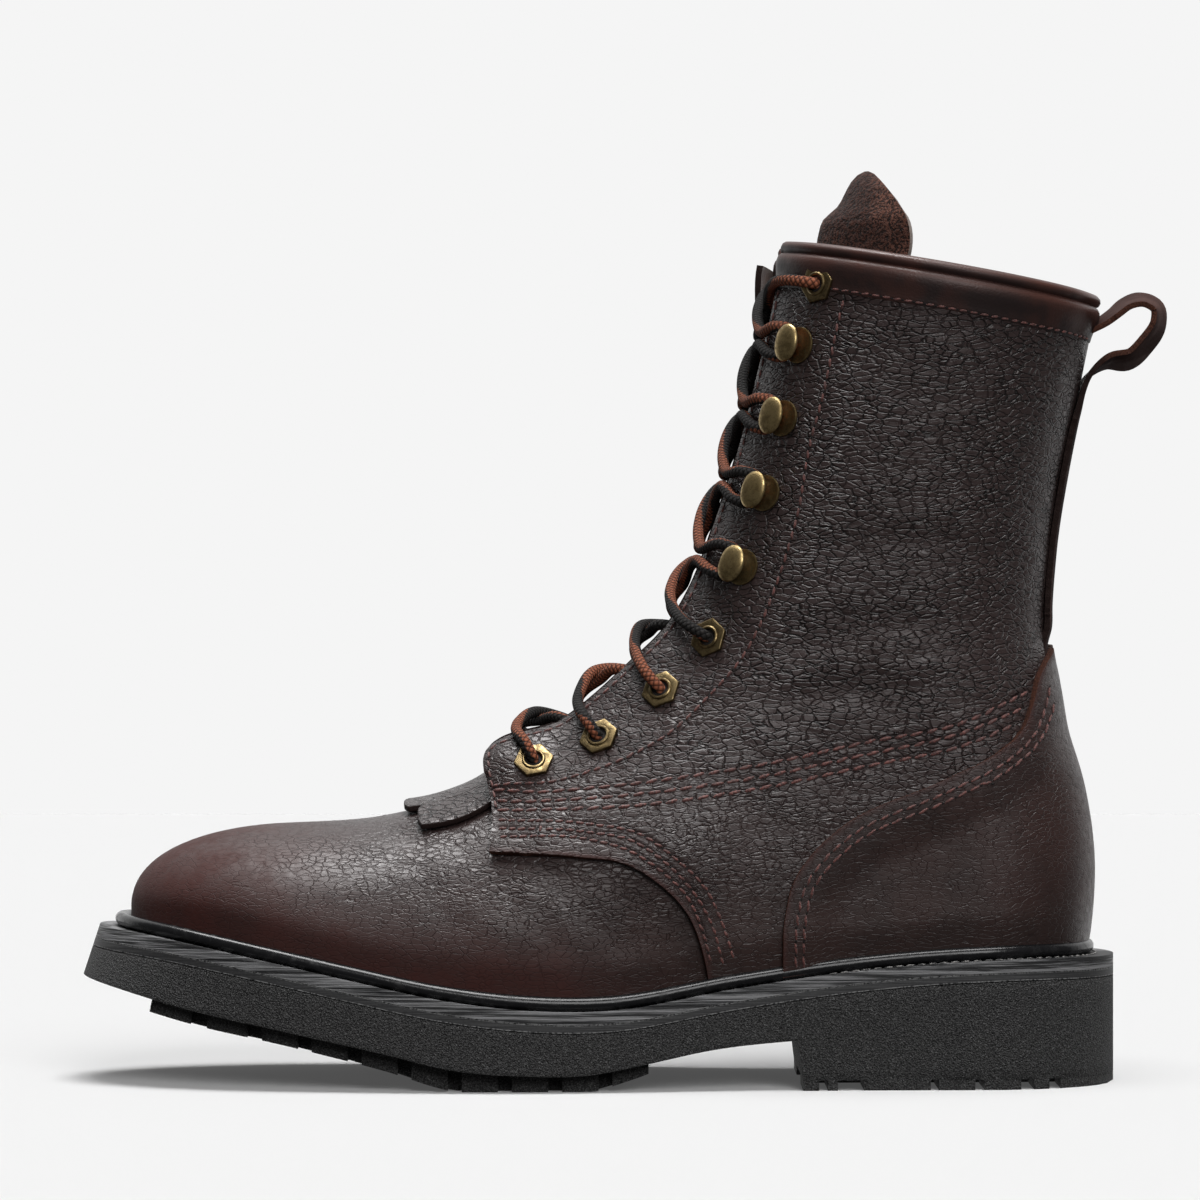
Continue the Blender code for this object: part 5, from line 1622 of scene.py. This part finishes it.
def make_kiltie():
    """Fringed sheet on the vamp that goes under the facings, its fingers lifted a little at the tips."""
    edges = np.linspace(-KILTIE_HALF, KILTIE_HALF, KILTIE_FINGERS + 1)
    shares = np.linspace(0, 1, 9)
    rows = np.linspace(0, 1, 15)[:, None]
    fade = 1 - np.linspace(0, 1, KILTIE_ROWS)[:, None]
    chamfer = KILTIE_CHAMFER * np.maximum(np.abs(shares - 0.5) * 2 - 0.45, 0)
    sheets = []
    for left, right in zip(edges, edges[1:]):
        y = left + KILTIE_SLIT / 2 + (right - left - KILTIE_SLIT) * shares
        bend = (np.abs((left + right) / 2) / KILTIE_HALF) ** 2
        tip = KILTIE_TIP + (KILTIE_SIDE_TIP - KILTIE_TIP) * bend
        x = (tip + chamfer)[None] * (1 - rows) + KILTIE_ROOT * rows
        wave = KILTIE_WAVE * np.sin(left + shares * 3)
        net = vamp_points(x, np.broadcast_to(y, x.shape))
        sheets.append(kiltie_sheet(net, KILTIE_FACE + KILTIE_CURL * (1 - rows) ** 2 + wave))
        sheets.append(kiltie_sheet(kiltie_back(y), KILTIE_FACE + wave * fade))
    for slit in edges[1:-1]:
        y = slit + KILTIE_SLIT / 2 * np.array((-1.0, 0.0, 1.0))
        sheets.append(kiltie_sheet(kiltie_back(y), KILTIE_FACE))
    kiltie = sewn("kiltie_fringe", sheets)
    walled(kiltie, KILTIE_SHEET, KILTIE_SOFT)
    dressed(kiltie, "pebbled_leather", ["kiltie"], LEATHER, FLESH, EDGE)


# Sole

def sole_half(x):
    """Half width and middle of the sole's outline."""
    toe = np.clip(1 - (x - TOE_X + SOLE_TOE) / SOLE_TOE_LENGTH, 0, 1) ** ROUND
    heel = np.clip(1 - (HEEL_TIP + SOLE_HEEL - x) / SOLE_HEEL_LENGTH, 0, 1) ** ROUND
    lateral = smooth(x, FOOT, 1)
    medial = smooth(x, FOOT, 2)
    half = (medial - lateral) / 2 + SOLE_SIDE
    return half * np.clip(1 - toe - heel, 0, None) ** (1 / ARCH), (lateral + medial) / 2


def leaned(x, z):
    """Stations moved forward at the toe, where the sole's edge leans out towards the floor."""
    share = 1 - ramp(x, TOE_X - SOLE_TOE, LEAN_START)
    return x - TOE_LEAN * share * (seat(x) - z)


def sole_stations(count):
    """Stations along the sole, close at its rounded ends, with the breast of the heel."""
    toe = TOE_X - SOLE_TOE
    heel = HEEL_TIP + SOLE_HEEL
    x = (toe + heel) / 2 - (heel - toe) / 2 * np.cos(np.linspace(0, math.pi, count))
    x = x[np.abs(x - BREAST_TOP_X) > 1.2]
    return np.array(sorted(list(x) + [BREAST_TOP_X, BREAST_FOOT_X]))


def slab(x, top, bottom, columns, soft):
    """Closed layer of the sole between two heights at each station, with softened edges."""
    half, middle = sole_half(x)
    shares = np.linspace(-1, 1, columns)
    down = np.linspace(0, 1, 9)

    def sheet(z):
        y = middle[:, None] + half[:, None] * shares
        return np.stack(np.broadcast_arrays(leaned(x, z)[:, None], y, z[:, None]), -1)

    def wall(side):
        heights = [top * (1 - t) + bottom * t for t in down]
        return np.stack([np.column_stack([leaned(x, z), middle + side * half, z]) for z in heights], 1)

    low = np.broadcast_to(down, (len(x), len(down)))
    flat = np.zeros((len(x), columns))
    sheets = [laid(sheet(top), layer=flat), laid(sheet(bottom), True, layer=flat + 1)]
    sheets += [laid(wall(LATERAL), layer=low), laid(wall(MEDIAL), True, layer=low)]
    piece = sewn("sole_layer", sheets)
    outside_out(piece)
    softened(piece, soft * MM, 50, segments=2)
    return piece


def base_of(x):
    """Underside of the outsole between its lugs."""
    return np.where(x > (BREAST_TOP_X + BREAST_FOOT_X) / 2, HEEL_BASE, smooth(x, BOTTOM, 1))


def tread_of(x):
    """Height that the lugs reach down to."""
    tread = np.maximum(smooth(x, BOTTOM, 2), 0.0)
    return np.where(x > (BREAST_TOP_X + BREAST_FOOT_X) / 2, 0.0, tread)


def tread_block(start, end, low, high):
    """One block of the tread between two stations and two shares of the half width."""
    block = started(bpy.ops.mesh.primitive_cube_add, size=2)
    edited((bpy.ops.mesh.subdivide, {"number_cuts": 5}))
    share = (points_of(block.data) + 1) / 2
    x = start + (end - start) * share[:, 0]
    half, middle = sole_half(x)
    y = middle + half * (low + (high - low) * share[:, 1])
    base = base_of(x) + TREAD_ROOT
    z = base + (tread_of(x) - base) * (1 - share[:, 2])
    points = np.column_stack([leaned(x, z), y, z])
    block.data.vertices.foreach_set("co", (points * MM).ravel())
    block.data.update()
    return block


def make_outsole():
    """Outsole with shank, heel block, forefoot lugs and heel bars."""
    x = sole_stations(SOLE_STATIONS)
    body = slab(x, seat(x) - MIDSOLE - GAP, base_of(x), 25, OUTSOLE_SOFT)
    blocks = []
    for k in range(LUG_COUNT):
        start = LUG_START + k * LUG_PITCH
        end = start + LUG_LENGTH
        for low, high in LUG_SHARES:
            blocks.append(tread_block(start, end, low, high))
        if k < LUG_COUNT - 1:
            for side in (LATERAL, MEDIAL):
                shares = sorted((side * LUG_SHARES[2][0], side * LUG_TIE))
                blocks.append(tread_block(end - LUG_TIE_LAP, start + LUG_PITCH + LUG_TIE_LAP, *shares))
    ends = [BREAST_FOOT_X] + [x for cut in HEEL_CUTS for x in cut] + [HEEL_TIP + SOLE_HEEL - 0.05]
    for start, end in zip(ends[::2], ends[1::2]):
        blocks += [tread_block(start, end, low, high) for low, high in HEEL_SHARES[::2]]
    inset = (BREAST_FOOT_X + HEEL_BAR_INSET, ends[-1] - HEEL_BAR_INSET)
    blocks.append(tread_block(*inset, *HEEL_SHARES[1]))
    tread = sewn("tread", blocks)
    outside_out(tread)
    softened(tread, TREAD_SOFT * MM, 50, segments=2)
    pick(body, tread)
    bpy.ops.object.join()
    body.name = "rubber_outsole"
    dressed(body, "rubber", ["outsole"], RUBBER, crisp=40)


def make_midsole():
    """Trimmed layer between outsole and welt."""
    x = sole_stations(SOLE_STATIONS)
    layer = slab(x, seat(x), seat(x) - MIDSOLE, 9, MIDSOLE_SOFT)
    layer.name = "trimmed_midsole"
    dressed(layer, "rubber", ["midsole"], TRIMMED, crisp=40)


def welt_loop():
    """Closed loop round the foot of the upper, with its outward direction in plan."""
    path = upper_nets()[0][:, 0]
    closed = shut(len(path), 0, -1)
    medial = skin(path, MEDIAL, closed)
    loop = np.concatenate([skin(path, LATERAL, closed), medial[-2:0:-1]])[:, :2]
    along = np.roll(loop, -1, axis=0) - np.roll(loop, 1, axis=0)
    out = unit(np.column_stack([-along[:, 1], along[:, 0]]))
    return loop, -out if out[0, 0] > 0 else out


def make_welt():
    """Glossy bead round the foot of the upper."""
    loop, out = welt_loop()
    sections = []
    for away, up in WELT_BEAD + WELT_BEAD[:1]:
        place = loop + out * away
        sections.append(np.column_stack([place, seat(place[:, 0]) + up]))
    net = np.stack(sections, 1)
    net = np.concatenate([net, net[:1]])
    bead = sewn("welt_bead", [laid(net)])
    outside_out(bead)
    applied(bead, "SUBSURF", levels=1, render_levels=1)
    dressed(bead, "glossy_welt", ["welt"], WELT, crisp=70)


def make_insole():
    """Plate on the midsole inside the wall."""
    loop, out = welt_loop()
    columns = len(loop) // 2
    place = loop - out * INSOLE_IN
    lateral = place[1:columns]
    medial = place[:columns:-1]
    x = (lateral[:, 0] + medial[:, 0]) / 2
    shares = np.linspace(0, 1, 21)
    y = lateral[:, 1, None] * (1 - shares) + medial[:, 1, None] * shares
    dish = INSOLE_DISH * (2 * shares - 1) ** 2
    z = (seat(x) + INSOLE_TOP)[:, None] + dish
    net = np.stack(np.broadcast_arrays(x[:, None], y, z), -1)
    insole = sewn("insole_sock", [laid(net)])
    walled(insole, INSOLE_SHEET, INSOLE_SOFT)
    dressed(insole, "insole_board", ["insole"], INSOLE, INSOLE, INSOLE)


# Brass

def eyelet_master():
    """Six-sided plate with a round hole and a rolled ring, its axis along Z, in millimetres."""
    cylinder = bpy.ops.mesh.primitive_cylinder_add
    plate = started(cylinder, vertices=6, radius=EYELET_RADIUS, depth=EYELET_HEIGHT + 0.5)
    drill = started(cylinder, vertices=32, radius=EYELET_HOLE + 0.25, depth=8)
    applied(plate, "BOOLEAN", object=drill, operation="DIFFERENCE", solver="EXACT")
    removed(drill)
    softened(plate, 0.3, 40, segments=3)
    edited(turned(30, "Z"))
    ring = started(bpy.ops.mesh.primitive_torus_add, major_segments=36, minor_segments=10,
                   major_radius=EYELET_HOLE + 0.35, minor_radius=EYELET_RING)
    edited(moved((0, 0, EYELET_RING_Z)))
    pick(plate, ring)
    bpy.ops.object.join()
    return plate


def hole_shade_master():
    """Barrel under the hole, dressed near-black as painted shade inside the eyelet."""
    cylinder = bpy.ops.mesh.primitive_cylinder_add
    hole = started(cylinder, vertices=24, radius=EYELET_HOLE + 0.2, depth=0.9)
    edited(moved((0, 0, -0.2)))
    return hole


# Hook: foot and neck, then the cap's half sizes, its place, how flat it is below and its cut front
HOOK_FOOT = 5.5
HOOK_FOOT_HEIGHT = 1.0
NECK_PLACE = (3.7, 0, 2.7)
NECK_STRETCH = (0.8, 2.2, 0.8)
CAP_SIZE = (4.5, 5.7, 1.6)
CAP_X = 1.0
CAP_Z = 4.9
CAP_UNDERSIDE = 0.45
CAP_FRONT = 4.7


def hook_master():
    """Speed hook: round foot with a raised rim, neck at the front and a domed oval cap over it."""
    cylinder = bpy.ops.mesh.primitive_cylinder_add
    foot = started(cylinder, vertices=40, radius=HOOK_FOOT, depth=HOOK_FOOT_HEIGHT)
    edited(moved((0, 0, HOOK_FOOT_HEIGHT / 2)), (bpy.ops.mesh.select_mode, {"type": "FACE"}))
    mesh = foot.data
    mesh.vertices.foreach_set("select", [False] * len(mesh.vertices))
    mesh.edges.foreach_set("select", [False] * len(mesh.edges))
    mesh.polygons.foreach_set("select", [face.normal.z > 0.9 for face in mesh.polygons])
    bpy.ops.object.mode_set(mode="EDIT")
    bpy.ops.mesh.inset(thickness=1.3, depth=-0.35)
    bpy.ops.mesh.inset(thickness=1.0, depth=0.3)
    bpy.ops.object.mode_set(mode="OBJECT")
    softened(foot, 0.3, 40, segments=2)
    neck = started(cylinder, vertices=20, radius=1.5, depth=5.0)
    edited(sized(NECK_STRETCH), moved(NECK_PLACE))
    cap = started(bpy.ops.mesh.primitive_uv_sphere_add, segments=40, ring_count=20, radius=1.0)
    edited(sized(CAP_SIZE), moved((CAP_X, 0, CAP_Z)))
    points = points_of(cap.data)
    over = points[:, 2] - CAP_Z
    points[:, 2] = np.where(over < 0, CAP_Z + over * CAP_UNDERSIDE, points[:, 2])
    points[:, 0] = np.minimum(points[:, 0], CAP_FRONT)
    cap.data.vertices.foreach_set("co", points.ravel())
    pick(foot, neck, cap)
    bpy.ops.object.join()
    return foot


def placed(name, master, place, across, up, out):
    """Copy of a master with its own mesh, set on the boot by three axes."""
    mesh = master.data.copy()
    turn = Matrix(np.column_stack([across, up, out]).tolist()).to_4x4()
    mesh.transform(Matrix.Translation(np.array(place) * MM) @ turn @ Matrix.Scale(MM, 4))
    mesh.name = name
    return shown(bpy.data.objects.new(name, mesh))


def level_axes(out, tilt):
    """Axes on a face whose first one is nearly level, towards the heel, with a small tilt."""
    across = np.array((math.cos(tilt), 0.0, math.sin(tilt)))
    across = unit(across - out * np.dot(across, out))
    return across, np.cross(out, across)


def make_brass():
    """Eyelets and hooks on both facings."""
    eyelet = eyelet_master()
    hole = hole_shade_master()
    hook = hook_master()
    for word, side in SIDES:
        for number, x, z in EYELETS:
            place, out, _, _ = facing_frame(x, z, side)
            tilt = EYELET_TILT if number < 9 else TOP_EYELET_TILT
            seated = (place + out * EYELET_LIFT, *level_axes(out, math.radians(tilt)), out)
            ring = placed(f"eyelet_ring_{word}_{number}", eyelet, *seated)
            dressed(ring, "antique_brass", [f"eyelet_{word}_{number}"], EYELET_BRASS, crisp=35)
            # Near-black barrel of painted shade inside each eyelet.
            painted_shade = placed(f"eyelet_hole_shade_{word}_{number}", hole, *seated)
            dressed(painted_shade, "lace", [], HOLE_SHADE, crisp=35)
        for number, x, z in HOOKS:
            place, out, _, front = facing_frame(x, z, side)
            seated = (place + out * HOOK_LIFT, front, np.cross(out, front), out)
            piece = placed(f"speed_hook_{word}_{number}", hook, *seated)
            dressed(piece, "antique_brass", [f"hook_{word}_{number}"], CAP_BRASS, crisp=35)
    for master in (eyelet, hole, hook):
        removed(master)


# Lace: its turns at each kind of stop, as offsets forward, up and out of the facing
HOOK_TURN = (
    (7.2, -4.4, 3.0),
    (3.4, -4.2, 2.8),
    (0.7, 0.0, 2.7),
    (3.4, 4.2, 2.8),
    (7.2, 4.4, 3.0),
)
EYELET_TURN = ((1.0, 0.0, -5.0), (0.0, 0.0, -1.5), (0.6, 0.0, 1.0), (3.4, 0.0, 2.9))
TOP_TURN = ((5.0, 0.0, 3.2), (1.6, 0.0, 2.0), (0.0, 0.0, -1.0), (0.0, 0.0, -4.0))
# Bottom bar: run past the first eyelet, offset from the middle, height
LACE_BAR = ((1.5, 0.0, -2.6), (1.0, 8.0, -3.2))
# Crossings: share of the way to the next stop, offset, height, part of the lift where the halves cross
LEAVING = ((0.10, 13.2, 4.2, 0.0), (0.24, 7.5, 3.3, 0.4), (0.50, 0.0, 2.4, 1.0))
COMING_OVER = ((0.76, -7.5, 3.3, 0.4), (0.90, -13.2, 4.2, 0.0))
COMING_UNDER = ((0.72, -6.5, 1.2, 0.0), (0.86, -11.0, -2.0, 0.0), (0.95, -15.0, -4.4, 0.0))
CROSS_OVER = 1.75
CROSS_UNDER = -1.3
# Length of one repeat of the braid
BRAID_REPEAT = 1.55


def over_throat(run, y, lift):
    """Point over the throat at a run, an offset from the middle and a height off the last."""
    row = crest_section(run, np.array([y]))
    return raised(row, lift + facing_lift(row[:, 0], row[:, 2]))[0]


def lace_path(first_side):
    """Points of one half of the lace, from the bottom bar to the top eyelet."""
    stops = sorted(EYELETS + HOOKS)
    hooks = {number for number, _, _ in HOOKS}
    runs = [CREST_RUN[crest_index(x, z)] for _, x, z in stops]
    top = len(stops) - 1
    side = first_side
    points = [over_throat(runs[0] + run, side * y, lift) for run, y, lift in LACE_BAR]
    for k, (number, x, z) in enumerate(stops):
        turn = HOOK_TURN if number in hooks else EYELET_TURN
        turn = TOP_TURN if k == top else turn
        place, out, up, front = facing_frame(x, z, side)
        points += [place + front * ahead + up * high + out * off for ahead, high, off in turn]
        if k == top:
            break
        cross = CROSS_OVER if (k % 2 == 0) == (first_side == LATERAL) else CROSS_UNDER
        goes_under = stops[k + 1][0] not in hooks and k + 1 < top
        for share, y, lift, rise in LEAVING + (COMING_UNDER if goes_under else COMING_OVER):
            run = runs[k] + share * (runs[k + 1] - runs[k])
            points.append(over_throat(run, side * y, lift + rise * cross))
        side = -side
    return np.array(points)


def cord(path, sides=14, step=0.9):
    """Tube round a smooth path, with its length and its turn kept in the UV map."""
    count = int(run_length(path)[-1] / step)
    line = drawn(path, count, places=3)
    along = unit(np.gradient(line, axis=0))
    across = np.zeros_like(line)
    across[0] = unit(np.cross(along[0], (0.0, 1.0, 0.3)))
    for k in range(1, count):
        across[k] = unit(across[k - 1] - along[k] * np.dot(across[k - 1], along[k]))
    lift = np.cross(along, across)
    angle = np.linspace(0, 2 * math.pi, sides + 1)
    ring = np.cos(angle)[None, :, None] * across[:, None] + np.sin(angle)[None, :, None] * lift[:, None]
    piece = laid(line[:, None] + LACE_RADIUS * ring)
    stretch = run_length(line)[-1] / BRAID_REPEAT
    layer = piece.data.uv_layers[0].data
    flat = np.empty(len(layer) * 2)
    layer.foreach_get("uv", flat)
    flat = flat.reshape(-1, 2) * np.array((stretch, 1.0))
    layer.foreach_set("uv", flat.ravel())
    return piece


def make_lace():
    """Lace in two halves from the bottom bar up through eyelets and hooks."""
    halves = [cord(lace_path(side)) for _, side in SIDES]
    lace = sewn("braided_lace_run", halves)
    outside_out(lace)
    nodes = ["lace_bar"] + [f"lace_cross_{k}" for k in range(1, 9)]
    dressed(lace, "lace", nodes, LACE, crisp=80)


# Stitches: pitch, length and thickness of each kind of seam
LOWER_SEAM = (3.1, 2.6, 1.0)
LONG_SEAM = (4.7, 3.9, 1.2)
EYESTAY_SEAM = (3.5, 2.7, 0.95)
FACING_SEAM = (3.5, 2.7, 0.9)
COUNTER_SEAM = (4.2, 3.5, 0.9)
HEM_SEAM = (3.3, 2.5, 0.8)
WELT_STITCH = (2.5, 0.6)
STITCH_SINK = -0.05
STITCH_LEAN = -0.14
HOLE_SHARE = 0.45
# Facing seam: distance from the edge, its foot, and the height above which it follows the edge
FACING_SEAM_IN = 2.3
FACING_SEAM_FOOT = np.array(((-36.9, 81.0), (-36.6, 86.0)))
FACING_SEAM_Z = 89.0
COUNTER_SEAMS_IN = (3.7, 6.1)
# Hem of the collar: drop below the rim, place of its bend, and height off the last
HEM_DROP = 10.4
HEM_BEND_X = 70.0
HEM_HEIGHT = 2.75
WELT_SEAM_OUT = 5.4
WELT_SEAM_PITCH = 3.3


def seam_places(path, side, height, pitch):
    """Places along a seam at a pitch, with the directions along it and out of the leather."""
    net = drawn(path, 400)
    height = height(net[:, 0], net[:, 1]) if callable(height) else height
    points = raised(skin(net, side), height)
    run = run_length(points)
    at = np.arange(pitch / 2, run[-1], pitch)
    spots = at_run(at, run, points)
    along = unit(at_run(at + 0.3, run, points) - at_run(at - 0.3, run, points))
    out = outward(spots)
    return spots, along, unit(out - along * (out * along).sum(1, keepdims=True))


def stitched(seam, length, thickness, sink, lean):
    """Places and axes of the stitches of a seam, each leaning a little across it."""
    places = []
    for spot, along, out in zip(*seam):
        across = np.cross(out, along)
        turn = lean + draw.gauss(0.0, 0.05)
        forward = along * math.cos(turn) + across * math.sin(turn)
        across = np.cross(out, forward)
        long = length * draw.uniform(0.92, 1.06) / 2
        places.append((spot - out * sink, forward * long, across * thickness / 2, out * thickness / 2))
    return places


def needle_hole_shades(seam, pitch, size):
    """Places and axes of the near-black dots between the stitches of a seam, painted shade that stands for
    the needle holes.
    """
    places = []
    for spot, along, out in zip(*seam):
        across = np.cross(out, along)
        at = spot + along * pitch / 2 - out * 0.12
        places.append((at, along * size * 1.25, across * size, out * 0.22))
    return places


def seam_rows():
    """Seams of one side: path, height of the face under it, pitch, stitch length and thickness."""
    rows = [(row, quarter_height, *LOWER_SEAM) for row in LOWER_STITCHES]
    rows += [(row, quarter_height, *LONG_SEAM) for row in LONG_STITCHES]
    rows.append((EYESTAY_STITCHES, quarter_height, *EYESTAY_SEAM))
    facing = below_rim(throat_path(FACING_X, facing_gap, FACING_SEAM_IN), BAND_HEIGHT + 2.0)[::6]
    facing = np.concatenate([FACING_SEAM_FOOT, facing[facing[:, 1] > FACING_SEAM_Z]])
    rows.append((facing, quarter_height, *FACING_SEAM))
    _, edge = counter_net()

    def counter_face(x, z):
        return counter_height(x, z, edge)

    for away in COUNTER_SEAMS_IN:
        row = edge + right_of(edge) * away
        row = row[nearest(row[:, 0], row[:, 1], BACK, 1)[0] > 3.0][2::3]
        rows.append((row, counter_face, *COUNTER_SEAM))
    bend = (HEM_BEND_X, rim(HEM_BEND_X) - HEM_DROP)
    front = below_rim(throat_path(FACING_X, facing_gap), HEM_DROP)[-1] + (1.5, 0.0)
    hem = joined(straight(front, bend, 20), straight(bend, rim_end(HEM_DROP) - (1.5, 0.0), 40))
    rows.append((hem, HEM_HEIGHT, *HEM_SEAM))
    return rows


def welt_seam():
    """Places of the stitches round the back of the welt, with their directions along it and up."""
    loop, out = welt_loop()
    place = loop + out * WELT_SEAM_OUT
    seam = np.column_stack([place, seat(place[:, 0]) + 0.15])
    seam = np.concatenate([seam, seam[:1]])
    run = run_length(seam)
    at = np.arange(0, run[-1], WELT_SEAM_PITCH)
    at = at[np.interp(at, run, seam[:, 0]) > WELT_SEAM_X]
    spots = at_run(at, run, seam)
    up = np.broadcast_to((0.0, 0.0, 1.0), spots.shape)
    return spots, unit(at_run(at + 0.5, run, seam) - spots), up


def make_stitches():
    """Seams of quarters, counter, facings, collar and welt, as joined meshes."""
    grain = started(bpy.ops.mesh.primitive_uv_sphere_add, segments=8, ring_count=6, radius=1.0)
    edited(turned(90, "Y"))
    rows = seam_rows()
    for word, side in SIDES:
        threads = []
        holes = []
        for path, height, pitch, length, thickness in rows:
            seam = seam_places(path, side, height, pitch)
            threads += stitched(seam, length, thickness, STITCH_SINK, STITCH_LEAN * side)
            holes += needle_hole_shades(seam, pitch, thickness * HOLE_SHARE)
        sewing = copies(f"stitches_{word}", grain, threads)
        dressed(sewing, "pebbled_leather", [], THREAD, crisp=80)
        # Near-black dots of painted shade at the needle holes.
        hole_shade_dots = copies(f"needle_hole_shades_{word}", grain, holes)
        dressed(hole_shade_dots, "pebbled_leather", [], HOLE_SHADE, crisp=80)
    sewing = copies("welt_stitches", grain, stitched(welt_seam(), *WELT_STITCH, 0.0, 0.0))
    dressed(sewing, "glossy_welt", [], WELT_THREAD, crisp=80)
    removed(grain)


# Stage

def paper(name, look, tone, glow, **plane):
    """Plain sheet of the studio with a faint glow of its own."""
    sheet = started(bpy.ops.mesh.primitive_plane_add, size=8.0, **plane)
    sheet.name = name
    bpy.ops.object.transform_apply(location=True, rotation=True)
    sheet.visible_diffuse = False
    material, _, shader = finish(look, tone, 1.0, gloss=0.0)
    shader.inputs["Emission Color"].default_value = (1.0, 1.0, 1.0, 1.0)
    shader.inputs["Emission Strength"].default_value = glow
    sheet.data.materials.append(material)
    return sheet


def make_stage():
    """Pale floor and backdrop, soft lights and the photograph's camera."""
    floor = paper("studio_floor", "studio_paper", FLOOR_TONE, FLOOR_GLOW, location=(0.0, -1.9, 0.0))
    floor.visible_glossy = False
    upright = {"location": (0.0, 2.1, 2.0), "rotation": (math.pi / 2, 0.0, 0.0)}
    wall = paper("studio_backdrop", "studio_backdrop", (0.0, 0.0, 0.0), BACKDROP_GLOW, **upright)
    wall.visible_shadow = False
    world = bpy.data.worlds.new("studio")
    world.use_nodes = True
    world.node_tree.nodes["Background"].inputs["Color"].default_value = (1.0, 1.0, 1.0, 1.0)
    world.node_tree.nodes["Background"].inputs["Strength"].default_value = WORLD_GLOW
    bpy.context.scene.world = world
    for name, place, spread_angle, power in LAMPS:
        lamp = bpy.data.lights.new(name, "SUN")
        lamp.angle = math.radians(spread_angle)
        lamp.energy = power
        holder = shown(bpy.data.objects.new(name, lamp))
        holder.rotation_euler = Matrix(axes_to(-np.array(place))).to_euler()
        holder.visible_diffuse = name != "sheen"
    camera = bpy.data.cameras.new("photo_camera")
    camera.lens = CAMERA_LENS
    camera.sensor_width = 36.0
    holder = shown(bpy.data.objects.new("photo_camera", camera))
    holder.location = CAMERA_PLACE
    holder.rotation_euler = (math.pi / 2, 0.0, 0.0)
    bpy.context.scene.camera = holder
    bpy.context.scene.view_settings.view_transform = "Standard"


def axes_to(ray):
    """Rotation rows of an object whose -Z points along a ray."""
    back = unit(-ray)
    side = unit(np.cross((0.0, 1.0, 0.0), back))
    return np.column_stack([side, np.cross(back, side), back]).tolist()


make_stage()
make_upper()
make_quarters()
make_counter()
make_collar()
make_backstay()
make_tongue()
make_kiltie()
make_outsole()
make_midsole()
make_welt()
make_insole()
make_brass()
make_lace()
make_stitches()
